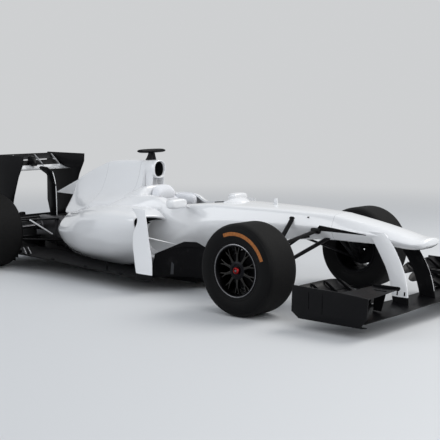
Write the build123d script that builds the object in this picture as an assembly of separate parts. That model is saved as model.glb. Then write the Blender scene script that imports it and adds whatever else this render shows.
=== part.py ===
from build123d import *
import math
import os

# Single-seat open wheel racing car, in millimetres. +X points forwards, +Y to the left and +Z up. The tables
# measure x from the front axle, and export moves the car so that its origin is on the ground at half its length.

# Overall layout
WHEELBASE = 3100.0
OVERALL_WIDTH = 1800.0
RIDE_HEIGHT = 49.0  # ground to the reference plane, which is the underside of the floor
FRONT_REACH = 1100.0  # front axle to the front wing's leading edge
REAR_REACH = 447.0  # rear axle to the rear wing endplate's trailing edge

# Wheels
TYRE_RADIUS = 330.0
FRONT_TYRE_WIDTH = 315.0
REAR_TYRE_WIDTH = 370.0
WHEEL_FLATS = 40  # flats round a tyre or a rim, which keep its outline round to about a millimetre
TREAD_EDGE = 42.0  # flat of the tread to the tyre's side
SHOULDER_DROP = 24.0
SHOULDER_INSET = 9.0
BULGE_DROP = 78.0  # tread to the widest place of the sidewall
RIM_RADIUS = 183.0
RIM_WALL = 9.0
RIM_RECESS = 15.0  # rim edge inside the tyre's widest place
SPOKE_COUNT = 10
SPOKE_INSET = 34.0  # spoke face behind the tyre's side
SPOKE_DEPTH = 26.0
SPOKE_HALF = 9.5
HUB_RADIUS = 52.0
HUB_BORE_DEPTH = 20.0
NUT_RADIUS = 33.0
NUT_LENGTH = 24.0
AXLE_RADIUS = 28.0
DUCT_RADIUS = 138.0  # brake duct round the disc
DUCT_SIDES = 16
PIN_CLEARANCE = 0.5
SEAT_GAP = 0.3

# Steering
KINGPIN_Y = 660.0
KINGPIN_RISE = 90.0  # ball joints above and below the wheel centre
KINGPIN_RADIUS = 9.0
EYE_RADIUS = 17.0  # corners of the eight-sided ball joint eye
EYE_HEIGHT = 20.0
UPRIGHT_HALF = 22.0
STEER_ARM = 90.0  # kingpin to the track rod's end
ARM_DEPTH = 24.0
RACK_Z = 512.0
RACK_RADIUS = 14.0
RACK_HALF = 262.0
TRACK_ROD_RADIUS = 9.0
TRACK_END_RADIUS = 13.0
TRACK_END_Z = 380.0
OPEN_PIVOT_GAP = 1.0
WHEEL_TILT = 25.0
WHEEL_CENTRE = (-790.0, 0.0, 590.0)
HAND_WHEEL_DEPTH = 26.0
COLUMN_RADIUS = 16.0

# Survival cell
CELL_WALL = 22.0
NOSE_JOINT_X = 300.0
CELL_REAR_X = -1700.0
CAVITY_FRONT_X = -500.0
CAVITY_REAR_X = -1640.0
COCKPIT_FRONT_X = -655.0
COCKPIT_REAR_X = -1590.0
COCKPIT_HALF = 222.0
CELL_TOP_CUT = 44.0
CELL_FOOT_CUT = 28.0

# Floor: a low centre under the cell, and higher side plates that rise towards the rear
FLOOR_THICKNESS = 6.0
STEP_HALF = 250.0
STEP_TOP = 118.0
STEP_REAR_TOP = 160.0
RISE_FROM_X = -1250.0
FLOOR_REAR_HALF = 640.0
SIDE_ROOF_TOP = 205.0  # upper face of the diffuser's side roofs at its rear edge
FLOOR_TOP = RIDE_HEIGHT + FLOOR_THICKNESS
FLOOR_HALF = 700.0
FLOOR_FRONT_X = -1087.0
TYRE_GAP = 22.0
PLANK_THICKNESS = 10.0
PLANK_HALF = 150.0
DIFFUSER_FRONT_X = -2950.0
DIFFUSER_HEIGHT = 125.0
DIFFUSER_LENGTH = 500.0
STRAKE_THICKNESS = 6.0

# Wings
FRONT_PLATE_THICKNESS = 12.0
FRONT_WING_HALF = OVERALL_WIDTH / 2
NEUTRAL_HALF = 250.0
REAR_WING_HALF = 375.0
REAR_PLATE_THICKNESS = 10.0
REAR_WING_TOP = 1000.0
FLAP_SIDE_GAP = 6.0
FLAP_LEAD = (-3405.0, 940.0)
FLAP_CHORD = 105.0
FLAP_PITCH = 30.0
FLAP_HINGE_SHARE = 0.9  # hinge near the tail, so that the leading edge lifts
FLAP_PIN_RADIUS = 4.0
BLADE_TAIL = 3.0

# Engine and gearbox
ENGINE_LENGTH = 600.0
ENGINE_HALF = 215.0
ENGINE_TOP = 470.0
ENGINE_BASE = 90.0
GEARBOX_REAR_X = -3180.0
DRIVE_FLANGE_Y = 100.0  # gearbox output face
DRIVE_FLANGE_RADIUS = 44.0
CRASH_REAR_X = -3520.0
CRASH_Z = 330.0
HALFSHAFT_RADIUS = 17.0
SHAFT_JOINT_RADIUS = 38.0

REAR_AXLE_X = -WHEELBASE
REAR_X = REAR_AXLE_X - REAR_REACH
ORIGIN_X = (FRONT_REACH + REAR_X) / 2
ENGINE_REAR_X = CELL_REAR_X - ENGINE_LENGTH
WHEEL_FACE_Y = OVERALL_WIDTH / 2 - SPOKE_INSET


def mirrored(shape):
    return mirror(shape, about=Plane.XZ)


def pair(shape):
    """The shape and its copy on the other side of the car."""
    return Compound([*shape.solids(), *mirrored(shape).solids()])


def largest(shape):
    return shape.solids().sort_by(SortBy.VOLUME)[-1]


def softened(corners, cuts, steps):
    """The corners, each cut back by its own length and bridged by one or two straight steps."""
    points = []
    for i, cut in enumerate(cuts):
        here = Vector(*corners[i])
        before = here + (Vector(*corners[i - 1]) - here).normalized() * cut
        after = here + (Vector(*corners[(i + 1) % len(corners)]) - here).normalized() * cut
        if not cut:
            points.append(here)
        elif steps == 1:
            points += [before, after]
        else:
            points += [before, (before + here * 2 + after) / 4, after]
    return points


def across(x, corners, cuts, steps=2):
    """Outline square to the car's length at x, from (y, z) corners with a cut for each."""
    return [Vector(x, p.X, p.Y) for p in softened(corners, cuts, steps)]


def ring(x, y, radius):
    """Outline of a wheel's flats about its axis at x, square to the axle at y."""
    turns = [2 * math.pi * n / WHEEL_FLATS for n in range(WHEEL_FLATS)]
    return [Vector(x + radius * math.sin(a), y, TYRE_RADIUS + radius * math.cos(a)) for a in turns]


def panels(a, b, c, d):
    """One flat panel through four points, or two that meet on the shorter diagonal."""
    if abs((b - a).cross(c - a).dot(d - a)) < 1.0:
        return [(a, b, c, d)]
    return [(a, b, c), (a, c, d)] if (c - a).length < (d - b).length else [(a, b, d), (b, c, d)]


def panelled(outlines, closed=False):
    """Solid with flat panels between outlines of the same number of points, ended by the first and last outline, or
    closed on itself."""
    polygons = [] if closed else [outlines[0], outlines[-1]]
    following = outlines[1:] + outlines[:1] if closed else outlines[1:]
    for near, far in zip(outlines, following):
        for i in range(len(near)):
            polygons += panels(near[i - 1], near[i], far[i], far[i - 1])
    return Solid(Shell([Face(Wire.make_polygon(points)) for points in polygons]))


def both_sides(half_corners):
    """Full outline from the (y, z) corners of the left half, listed from the bottom up."""
    return [*half_corners, *[(-y, z) for y, z in reversed(half_corners)]]


def plate_y(outline, y_inner, thickness, cuts=None):
    """Flat plate square to Y: (x, z) outline with its inner face at y_inner."""
    points = softened(outline, cuts, 1) if cuts else [Vector(*corner) for corner in outline]
    wire = Polyline(*[(p.X, y_inner, p.Y) for p in points], close=True)
    return extrude(make_face(wire), amount=thickness, dir=(0, 1, 0))


def plate_z(outline, z_bottom, thickness):
    """Flat plate square to Z from an (x, y) outline."""
    points = [(x, y, z_bottom) for x, y in outline]
    return extrude(make_face(Polyline(*points, close=True)), amount=thickness, dir=(0, 0, 1))


def blade_frame(x_lead, z_lead, pitch, y_from):
    """Function that places a point by its distance along and above a wing element's chord."""
    cos_p = math.cos(math.radians(pitch))
    sin_p = math.sin(math.radians(pitch))

    def at(along, up):
        return (x_lead - along * cos_p + up * sin_p, y_from, z_lead + along * sin_p + up * cos_p)

    return at


def blade(x_lead, z_lead, chord, pitch, y_from, y_to, depth=0.10, belly=0.06):
    """Wing element: two arcs from the leading edge to a blunt tail, hollow side up."""
    at = blade_frame(x_lead, z_lead, pitch, y_from)
    lower = ThreePointArc(at(0, 0), at(chord * 0.42, -chord * depth), at(chord, 0))
    end = Line(at(chord, 0), at(chord - BLADE_TAIL * 0.2, BLADE_TAIL))
    upper = ThreePointArc(at(chord - BLADE_TAIL * 0.2, BLADE_TAIL), at(chord * 0.42, -chord * (depth - belly)), at(0, 0))
    return extrude(make_face([lower, end, upper]), amount=y_to - y_from, dir=(0, 1, 0))


def slat(x_lead, z_lead, chord, pitch, y_from, y_to, depth=0.10, belly=0.07):
    """Small wing element with a three-sided belly and a two-sided top."""
    at = blade_frame(x_lead, z_lead, pitch, y_from)
    outline = [at(0, 0), at(chord * 0.22, -chord * depth * 0.8), at(chord * 0.62, -chord * depth * 0.9), at(chord, 0),
               at(chord, BLADE_TAIL), at(chord * 0.5, -chord * (depth - belly)), at(chord * 0.05, chord * 0.03)]
    return extrude(make_face(Polyline(*outline, close=True)), amount=y_to - y_from, dir=(0, 1, 0))


def strut(start, end, chord, thickness):
    """Streamlined arm between two points, its chord kept near the car's length."""
    start_point = Vector(*start)
    along = Vector(*end) - start_point
    section_plane = Plane(origin=start_point, x_dir=(1, 0, 0), z_dir=along)
    nose = (chord / 2, 0)
    tail = (-chord / 2, 0)
    section = Polyline(nose, (chord * 0.22, thickness / 2), (-chord * 0.15, thickness / 2), tail,
                       (-chord * 0.15, -thickness / 2), (chord * 0.22, -thickness / 2), close=True)
    return extrude(section_plane * make_face(section), amount=along.length)


def rod(start, end, radius):
    start_point = Vector(*start)
    along = Vector(*end) - start_point
    return extrude(Plane(origin=start_point, z_dir=along) * Circle(radius), amount=along.length)


def flat_rod(start, end, radius, sides=12):
    """Rod with flat sides, for a place where nothing turns."""
    start_point = Vector(*start)
    along = Vector(*end) - start_point
    return extrude(Plane(origin=start_point, z_dir=along) * RegularPolygon(radius, sides), amount=along.length)


def tyre(x, width):
    """Left tyre: tread, shoulders and bulged sidewalls down to the rim's edge."""
    outer = OVERALL_WIDTH / 2
    inner = outer - width
    bead = RIM_RADIUS + SEAT_GAP
    shoulder = TYRE_RADIUS - SHOULDER_DROP
    bulge = TYRE_RADIUS - BULGE_DROP
    profile = [
        (bead, outer - RIM_RECESS), (bulge, outer), (shoulder, outer - SHOULDER_INSET), (TYRE_RADIUS, outer - TREAD_EDGE),
        (TYRE_RADIUS, inner + TREAD_EDGE), (shoulder, inner + SHOULDER_INSET), (bulge, inner),
        (bead, inner + RIM_RECESS)]
    return panelled([ring(x, y, radius) for radius, y in profile], closed=True)


def rim(x, width):
    """Left rim: barrel, a star of ten spokes with its hub bored for the axle, and the centre nut."""
    outer = OVERALL_WIDTH / 2 - RIM_RECESS
    inner = OVERALL_WIDTH / 2 - width + RIM_RECESS
    bore = RIM_RADIUS - RIM_WALL
    profile = [(RIM_RADIUS, outer), (RIM_RADIUS, inner), (bore, inner), (bore, outer)]
    barrel = panelled([ring(x, y, radius) for radius, y in profile], closed=True)
    star = []
    spoke_tip = RIM_RADIUS - RIM_WALL / 2
    for n in range(SPOKE_COUNT):
        turn = 2 * math.pi * n / SPOKE_COUNT
        tip_half = SPOKE_HALF / spoke_tip
        valley = math.pi / SPOKE_COUNT
        star.append((spoke_tip, turn - tip_half))
        star.append((spoke_tip, turn + tip_half))
        star.append((HUB_RADIUS, turn + valley))
    outline = [(x + r * math.sin(a), TYRE_RADIUS + r * math.cos(a)) for r, a in star]
    face = plate_y(outline, WHEEL_FACE_Y - SPOKE_DEPTH, SPOKE_DEPTH)
    nut = rod((x, WHEEL_FACE_Y, TYRE_RADIUS), (x, WHEEL_FACE_Y + NUT_LENGTH, TYRE_RADIUS), NUT_RADIUS)
    bore_start = WHEEL_FACE_Y - SPOKE_DEPTH
    hub_bore = rod((x, bore_start, TYRE_RADIUS), (x, bore_start + HUB_BORE_DEPTH, TYRE_RADIUS), AXLE_RADIUS + PIN_CLEARANCE)
    return barrel + (face - hub_bore) + nut


def duct(x):
    """Left faceted brake duct round the wheel axis, from the upright to near the spokes."""
    section = Plane(origin=(x, KINGPIN_Y + UPRIGHT_HALF, TYRE_RADIUS), z_dir=(0, 1, 0))
    length = WHEEL_FACE_Y - SPOKE_DEPTH - 40 - KINGPIN_Y - UPRIGHT_HALF
    return extrude(section * RegularPolygon(DUCT_RADIUS, DUCT_SIDES), amount=length)


def axle_end():
    """Y of the axle's outer end, just short of the hub bore's floor."""
    return WHEEL_FACE_Y - SPOKE_DEPTH + HUB_BORE_DEPTH - 1


def front_upright():
    """Left steered upright: block, kingpins, axle, brake duct with its scoop, and the steering arm."""
    low = TYRE_RADIUS - KINGPIN_RISE
    high = TYRE_RADIUS + KINGPIN_RISE
    block_half = KINGPIN_RISE - EYE_HEIGHT / 2 - 22
    block = Pos(0, KINGPIN_Y, TYRE_RADIUS) * Box(70, 2 * UPRIGHT_HALF, 2 * block_half)
    pins = rod((0, KINGPIN_Y, low - 14), (0, KINGPIN_Y, high + 14), KINGPIN_RADIUS)
    axle = rod((0, KINGPIN_Y + UPRIGHT_HALF, TYRE_RADIUS), (0, axle_end(), TYRE_RADIUS), AXLE_RADIUS)
    arm_top = TRACK_END_Z - TRACK_ROD_RADIUS - OPEN_PIVOT_GAP
    arm = plate_z([
        (30, KINGPIN_Y - UPRIGHT_HALF), (STEER_ARM + 14, KINGPIN_Y - 14), (STEER_ARM + 14, KINGPIN_Y + 14),
        (30, KINGPIN_Y + UPRIGHT_HALF)], arm_top - ARM_DEPTH, ARM_DEPTH)
    scoop = Pos(95, KINGPIN_Y + 90, TYRE_RADIUS + 10) * Box(70, 60, 90)
    return block + pins + duct(0) + axle + arm + scoop


def wishbone(pin_z, arms):
    """Left front wishbone: an eye round its ball joint pin, with the arms that meet there."""
    eye = Pos(0, KINGPIN_Y, pin_z - EYE_HEIGHT / 2) * extrude(RegularPolygon(EYE_RADIUS, 8), EYE_HEIGHT)
    hole = Pos(0, KINGPIN_Y, pin_z) * Cylinder(KINGPIN_RADIUS + PIN_CLEARANCE, 80)
    body = eye
    for end, chord, thickness in arms:
        body = body + strut((0, KINGPIN_Y, pin_z), end, chord, thickness)
    return body - hole


def front_wishbones(cell):
    """Left front upper and lower wishbones with the pushrod, cut where they meet the cell."""
    low = TYRE_RADIUS - KINGPIN_RISE
    upper = wishbone(TYRE_RADIUS + KINGPIN_RISE, [((178, 185, 560), 40, 18), ((-270, 185, 590), 44, 16)])
    lower = wishbone(low, [((250, 120, 510), 48, 16), ((-300, 150, 480), 48, 16)])
    pushrod = strut((0, KINGPIN_Y - 62, low + 22), (-35, 180, 640), 34, 20)
    return Compound([*(upper - cell).solids(), *((lower + pushrod) - cell).solids()])


def track_rods():
    """Steering rack bar with a track rod at each side, whose end lies just over its steering arm."""
    bar = rod((STEER_ARM, -RACK_HALF, RACK_Z), (STEER_ARM, RACK_HALF, RACK_Z), RACK_RADIUS)
    left = flat_rod((STEER_ARM, RACK_HALF - 10, RACK_Z), (STEER_ARM, KINGPIN_Y, TRACK_END_Z), TRACK_ROD_RADIUS, 8)
    end = Pos(STEER_ARM, KINGPIN_Y, TRACK_END_Z) * Cylinder(TRACK_END_RADIUS, 2 * TRACK_ROD_RADIUS)
    return bar + left + end + mirrored(left + end)


# Survival cell sections: x, bottom half width, bottom z, waist half width, waist z, top half width, top z
CELL_SECTIONS = [
    (NOSE_JOINT_X, 125, 500, 165, 590, 130, 694),
    (0, 150, 480, 205, 590, 165, 703),
    (-450, 185, 425, 250, 585, 205, 706),
    (-780, 200, 375, 285, 570, 235, 708),
    (-1180, 190, 70, 292, 450, 250, 664),
    (-1400, 210, 58, 300, 430, 262, 716),
    (CELL_REAR_X, 220, 56, 300, 430, 255, 712),
]


def cell_section(x, low_half, low_z, mid_half, mid_z, top_half, top_z, wall=0.0):
    half = [(low_half - wall, low_z + wall), (mid_half - wall, mid_z), (top_half - wall, top_z - wall)]
    foot = CELL_FOOT_CUT - wall * 0.4
    top = CELL_TOP_CUT - wall * 0.4
    return across(x, both_sides(half), [foot, 0, top, top, 0, foot])


def below_floor():
    """Everything lower than the floor's upper face at the centre."""
    return Pos(REAR_AXLE_X / 2, 0, FLOOR_TOP - 200) * Box(2 * WHEELBASE, OVERALL_WIDTH, 400)


def step_line():
    """Side view of the upper face of the floor's side plates."""
    return [(FLOOR_FRONT_X + 620, STEP_TOP), (RISE_FROM_X, STEP_TOP), (DIFFUSER_FRONT_X, STEP_REAR_TOP)]


def below_step():
    """Everything lower than the upper face of the floor's side plates."""
    line = step_line()
    return plate_y([*line, (line[-1][0], -200), (line[0][0], -200)], -OVERALL_WIDTH / 2, OVERALL_WIDTH)


def monocoque():
    outside = panelled([cell_section(*row) for row in CELL_SECTIONS])
    front = list(CELL_SECTIONS[2])
    front[0] = CAVITY_FRONT_X
    rear = list(CELL_SECTIONS[-1])
    rear[0] = CAVITY_REAR_X
    inner_rows = [front, *CELL_SECTIONS[3:-1], rear]
    cavity = panelled([cell_section(*row, wall=CELL_WALL) for row in inner_rows])
    shoulder_x = COCKPIT_FRONT_X - 190
    opening = plate_z([
        (COCKPIT_FRONT_X, -70), (COCKPIT_FRONT_X, 70), (shoulder_x, COCKPIT_HALF - 25), (COCKPIT_REAR_X, COCKPIT_HALF),
        (COCKPIT_REAR_X, -COCKPIT_HALF), (shoulder_x, 25 - COCKPIT_HALF)], 560, 240)
    rack_bore = rod((STEER_ARM, -400, RACK_Z), (STEER_ARM, 400, RACK_Z), RACK_RADIUS + PIN_CLEARANCE)
    return outside - cavity - opening - rack_bore - below_floor()


# Nose sections, same columns as the cell
NOSE_SECTIONS = [
    (NOSE_JOINT_X, 125, 500, 165, 590, 130, 694),
    (500, 118, 507, 158, 590, 125, 678),
    (700, 112, 520, 148, 585, 118, 640),
    (880, 110, 500, 150, 550, 120, 600),
    (1000, 96, 508, 150, 540, 124, 568),
    (1055, 62, 526, 100, 538, 86, 552),
]


def nose_section(row):
    x, low_half, low_z, mid_half, mid_z, top_half, top_z = row
    foot = min(CELL_FOOT_CUT, (top_z - low_z) * 0.3)
    top = min(CELL_TOP_CUT, (top_z - low_z) * 0.3)
    half = [(low_half, low_z), (mid_half, mid_z), (top_half, top_z)]
    return across(x, both_sides(half), [foot, 0, top, top, 0, foot])


def nose_cone():
    return panelled([nose_section(row) for row in NOSE_SECTIONS])


# Nose pylon sections: z, x rear, x front, y, thickness
PYLON_SECTIONS = [
    (590, 578, 738, 137, 16),
    (450, 698, 857, 152, 16),
    (350, 768, 915, 162, 16),
    (250, 809, 951, 171, 18),
    (150, 833, 967, 181, 20),
    (90, 842, 972, 186, 20),
]


def upright_plate(rows, edge):
    """Lens-shaped upright plate lofted from rows of z, x rear, x front, y and thickness."""
    sections = []
    for z, x_rear, x_front, y, thick in rows:
        middle = (x_rear + x_front) / 2
        sections.append([
            Vector(x_rear, y - edge, z), Vector(middle, y - thick / 2, z), Vector(x_front, y - edge, z),
            Vector(x_front, y + edge, z), Vector(middle, y + thick / 2, z), Vector(x_rear, y + edge, z)])
    return panelled(sections)


def nose_pylons(nose, wing):
    """Two curved plates that carry the front wing."""
    plate = (upright_plate(PYLON_SECTIONS, 3) - nose - wing).solids().sort_by(Axis.Z)
    return pair(plate[len(plate) // 2])


def front_wing_main():
    inner_face = FRONT_WING_HALF - FRONT_PLATE_THICKNESS
    centre = blade(1080, 118, 270, 2, -NEUTRAL_HALF, NEUTRAL_HALF, depth=0.09, belly=0.085)
    outboard = blade(FRONT_REACH - 15, 112, 270, 6, NEUTRAL_HALF, inner_face, depth=0.10, belly=0.05)
    return centre + outboard + mirrored(outboard)


# Front flaps: leading edge x, leading edge z, chord, pitch, inner end y
FRONT_FLAPS = [
    (845, 148, 130, 20, 300),
    (738, 188, 118, 28, 330),
    (650, 236, 112, 34, 360),
]


def front_wing_flaps():
    inner_face = FRONT_WING_HALF - FRONT_PLATE_THICKNESS
    flaps = []
    for x_lead, z_lead, chord, pitch, y_inner in FRONT_FLAPS:
        flaps.append(slat(x_lead, z_lead, chord, pitch, y_inner, inner_face))
    return pair(Compound(flaps))


def front_wing_endplates():
    outline = [(1090, 140), (FRONT_REACH, 275), (865, 291), (506, 296), (500, 120), (560, 78), (1040, 78)]
    plate = plate_y(outline, FRONT_WING_HALF - FRONT_PLATE_THICKNESS, FRONT_PLATE_THICKNESS, [20, 20, 0, 12, 12, 12, 20])
    return pair(plate)


# Engine cover sections: x, top half width, top z, neck half, neck z, shoulder half, shoulder z, foot half, foot z, base z
COVER_SECTIONS = [
    (CELL_REAR_X, 72, 1004, 84, 880, 130, 760, 300, 660, 560),
    (-1950, 66, 998, 82, 860, 140, 740, 320, 640, 520),
    (-2200, 40, 980, 62, 840, 120, 710, 270, 620, 500),
    (-2480, 14, 872, 34, 780, 90, 680, 190, 590, 500),
    (-2700, 8, 770, 16, 720, 50, 650, 110, 570, 500),
]
FIN_THICKNESS = 8.0


def engine_cover():
    sections = []
    for x, top_half, top_z, neck_half, neck_z, side_half, side_z, foot_half, foot_z, base_z in COVER_SECTIONS:
        half = [(foot_half, base_z), (foot_half, foot_z), (side_half, side_z), (neck_half, neck_z), (top_half, top_z)]
        cuts = [0, 14, 0, 0, top_half * 0.6]
        sections.append(across(x, both_sides(half), [*cuts, *reversed(cuts)]))
    fin = plate_y([(-2180, 960), (-2957, 653), (-2728, 643), (-2600, 640), (-2200, 700)], -FIN_THICKNESS / 2, FIN_THICKNESS)
    return panelled(sections) + fin


# Roll hoop intake: x, outer half width, outer half height, inner half width, inner half height
INTAKE_SECTIONS = [
    (-1592, 78, 80, 58, 66),
    (-1630, 80, 82, 52, 59),
    (CELL_REAR_X, 74, 79, 46, 52),
]
INTAKE_Z = 926.0
INTAKE_DEPTH = 94.0
HOOP_LEG_Y = 62.0
HOOP_LEG_WIDTH = 16.0


def intake_ring(x, half_width, half_height):
    corners = [(-half_width, INTAKE_Z - half_height), (half_width, INTAKE_Z - half_height),
               (half_width, INTAKE_Z + half_height), (-half_width, INTAKE_Z + half_height)]
    return across(x, corners, [half_width * 0.72] * 4)


def roll_hoop():
    """Air intake ring on two legs over the rear bulkhead."""
    front_x = INTAKE_SECTIONS[0][0]
    outer = panelled([intake_ring(row[0], row[1], row[2]) for row in INTAKE_SECTIONS])
    mouth = INTAKE_SECTIONS[0]
    throat = INTAKE_SECTIONS[-1]
    inner = panelled([intake_ring(front_x, mouth[3], mouth[4]), intake_ring(front_x - INTAKE_DEPTH, throat[3], throat[4])])
    leg = plate_y([(front_x - 14, 910), (CELL_REAR_X + 2, 910), (CELL_REAR_X + 2, 690), (front_x - 40, 690)],
                  HOOP_LEG_Y, HOOP_LEG_WIDTH)
    rows = [(front_x, 230, 722, 150, 795), (CELL_REAR_X + 2, 245, 700, 135, 768)]
    fairing = panelled([
        across(x, both_sides([(low_half, 690), (low_half, low_z), (half, z)]), [0, 0, 30, 30, 0, 0])
        for x, low_half, low_z, half, z in rows])
    return outer + leg + mirrored(leg) + fairing - inner


# Left sidepod sections: x, then (y, z) of roof inner, roof outer, waist, tuck, foot outer, foot inner
SIDEPOD_SECTIONS = [
    (-1150, (270, 640), (590, 606), (618, 560), (560, 400), (430, 280), (270, 280)),
    (-1420, (270, 655), (615, 602), (625, 520), (548, 320), (400, 170), (270, 130)),
    (-1700, (270, 655), (600, 597), (603, 475), (520, 235), (340, 112), (150, 112)),
    (-2120, (150, 640), (470, 545), (500, 430), (452, 232), (300, 112), (150, 112)),
    (-2400, (100, 600), (350, 480), (390, 390), (362, 268), (235, 112), (100, 112)),
    (-2620, (80, 560), (240, 440), (290, 375), (276, 325), (180, 200), (80, 150)),
]
INLET_DEPTH = 270.0


def sidepod(cell, cover, engine, gearbox_body):
    sections = [across(x, corners, [0, 24, 24, 40, 0, 0]) for x, *corners in SIDEPOD_SECTIONS]
    mouth_x = SIDEPOD_SECTIONS[0][0]
    inlet = panelled([
        across(mouth_x + 1, [(330, 590), (565, 568), (560, 470), (470, 400), (330, 400)], [18] * 5, 1),
        across(mouth_x - INLET_DEPTH, [(330, 560), (540, 540), (535, 450), (470, 380), (330, 380)], [18] * 5, 1)])
    shell = panelled(sections) - inlet - below_step() - cell - cover - engine - gearbox_body
    return largest(shell)


# Side vane sections: z, x rear, x front, y, thickness
VANE_SECTIONS = [
    (STEP_TOP, -1188, -1008, 690, 14),
    (280, -1224, -1012, 680, 16),
    (377, -1245, -1045, 676, 16),
    (480, -1238, -1056, 680, 16),
    (562, -1182, -1072, 684, 16),
    (665, -1243, -1092, 676, 16),
]


def side_vanes():
    """Curved upright plates ahead of the sidepods, standing on the floor's front corners."""
    return pair(upright_plate(VANE_SECTIONS, 2))


def floor_outline():
    inner_tyre = OVERALL_WIDTH / 2 - REAR_TYRE_WIDTH - TYRE_GAP
    tyre_front = REAR_AXLE_X + TYRE_RADIUS + TYRE_GAP
    half = [(-470, 60), (-520, 110), (-900, 150), (FLOOR_FRONT_X, 520), (FLOOR_FRONT_X, FLOOR_HALF),
            (tyre_front, FLOOR_REAR_HALF), (tyre_front, inner_tyre), (DIFFUSER_FRONT_X, inner_tyre)]
    return [*half, *[(x, -y) for x, y in reversed(half)]]


def floor():
    """The centre plate, the side plates over it, and the step walls between them, all inside one plan outline."""
    line = step_line()
    under = [(x, z - FLOOR_THICKNESS) for x, z in reversed(line)]
    side = plate_y([*line, *under], STEP_HALF - FLOOR_THICKNESS, FLOOR_HALF)
    wall = plate_y([*line, (DIFFUSER_FRONT_X, RIDE_HEIGHT), (line[0][0], RIDE_HEIGHT)],
                   STEP_HALF - FLOOR_THICKNESS, FLOOR_THICKNESS)
    plan = plate_z(floor_outline(), 0, STEP_REAR_TOP + 10)
    centre = Pos(REAR_AXLE_X / 2, 0, RIDE_HEIGHT + FLOOR_THICKNESS / 2) * Box(2 * WHEELBASE, 2 * STEP_HALF, FLOOR_THICKNESS)
    return (centre + side + wall + mirrored(side + wall)) & plan


def plank():
    nose_half = PLANK_HALF - 80
    outline = [(-480, -nose_half), (-560, -PLANK_HALF), (DIFFUSER_FRONT_X, -PLANK_HALF),
               (DIFFUSER_FRONT_X, PLANK_HALF), (-560, PLANK_HALF), (-480, nose_half)]
    return plate_z(outline, RIDE_HEIGHT - PLANK_THICKNESS, PLANK_THICKNESS)


def roof_z(x):
    """Upper face of the diffuser's side roofs."""
    return STEP_REAR_TOP + (DIFFUSER_FRONT_X - x) / DIFFUSER_LENGTH * (SIDE_ROOF_TOP - STEP_REAR_TOP)


def diffuser():
    """A rising centre roof, higher side roofs, and the strakes that hang from them."""
    half = OVERALL_WIDTH / 2 - REAR_TYRE_WIDTH - TYRE_GAP
    front_x = DIFFUSER_FRONT_X
    rear_x = front_x - DIFFUSER_LENGTH
    top_z = RIDE_HEIGHT + DIFFUSER_HEIGHT
    body = plate_y([(front_x, RIDE_HEIGHT), (rear_x, top_z), (rear_x, top_z + FLOOR_THICKNESS), (front_x, FLOOR_TOP)],
                   -STEP_HALF, 2 * STEP_HALF)
    side = plate_y([(front_x, STEP_REAR_TOP - FLOOR_THICKNESS), (rear_x, SIDE_ROOF_TOP - FLOOR_THICKNESS),
                    (rear_x, SIDE_ROOF_TOP), (front_x, STEP_REAR_TOP)], STEP_HALF - STRAKE_THICKNESS, half + 6 - STEP_HALF)
    for y in (STEP_HALF - STRAKE_THICKNESS, half - STRAKE_THICKNESS):
        side = side + plate_y([(front_x, RIDE_HEIGHT), (rear_x, RIDE_HEIGHT), (rear_x, SIDE_ROOF_TOP - 3),
                               (front_x, STEP_REAR_TOP - 3)], y, STRAKE_THICKNESS)
    fence = plate_y([(front_x - 5, RIDE_HEIGHT), (rear_x, RIDE_HEIGHT), (rear_x, top_z + 2), (front_x - 5, RIDE_HEIGHT + 3)],
                    120, STRAKE_THICKNESS)
    return body + side + fence + mirrored(side + fence)


# Bargeboard plan, from its rear end forwards: x, y at the foot, and x, y at the top
BARGEBOARD_PLAN = [
    (-1140, 575, -1110, 555),
    (-1050, 500, -1020, 488),
    (-960, 425, -925, 420),
    (-870, 375, -825, 375),
    (-780, 340, -740, 350),
]
BARGEBOARD_TOP = 385.0
BARGEBOARD_THICKNESS = 6.0


def bargeboards():
    """Left and right turning vanes under the cockpit, standing on the floor's front edge."""
    sections = []
    for z, column in ((STEP_TOP, 0), (BARGEBOARD_TOP, 2)):
        outer = [Vector(row[column], row[column + 1], z) for row in BARGEBOARD_PLAN]
        inner = [point - Vector(3, BARGEBOARD_THICKNESS, 0) for point in reversed(outer)]
        sections.append([*outer, *inner])
    return pair(panelled(sections))


def engine_block():
    height = ENGINE_TOP - ENGINE_BASE
    return Pos(CELL_REAR_X - ENGINE_LENGTH / 2, 0, ENGINE_BASE + height / 2) * Box(ENGINE_LENGTH, 2 * ENGINE_HALF, height)


# Gearbox sections: x, half width, bottom z, top z
GEARBOX_SECTIONS = [
    (ENGINE_REAR_X, 150, 110, 430),
    (-2800, 105, 140, 430),
    (GEARBOX_REAR_X, 75, 190, 420),
]


def box_section(x, half, z_low, z_high, cut):
    corners = [(half, z_low), (half, z_high), (-half, z_high), (-half, z_low)]
    return across(x, corners, [cut] * 4, 1)


def gearbox():
    casing = panelled([box_section(*row, 25) for row in GEARBOX_SECTIONS])
    drive_end = (REAR_AXLE_X, DRIVE_FLANGE_Y, TYRE_RADIUS)
    return casing + flat_rod(drive_end, (REAR_AXLE_X, -DRIVE_FLANGE_Y, TYRE_RADIUS), DRIVE_FLANGE_RADIUS)


def crash_structure():
    return panelled([box_section(GEARBOX_REAR_X, 66, CRASH_Z - 70, CRASH_Z + 70, 14),
                 box_section(CRASH_REAR_X, 42, CRASH_Z - 38, CRASH_Z + 38, 14)])


def rear_upright(driveshaft_bore):
    block = Pos(REAR_AXLE_X, KINGPIN_Y - 20, TYRE_RADIUS) * Box(100, 50, 170)
    spacer = Pos(REAR_AXLE_X, KINGPIN_Y + 14, TYRE_RADIUS) * Box(90, 20, 150)
    return block + spacer + duct(REAR_AXLE_X) - driveshaft_bore


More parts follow.
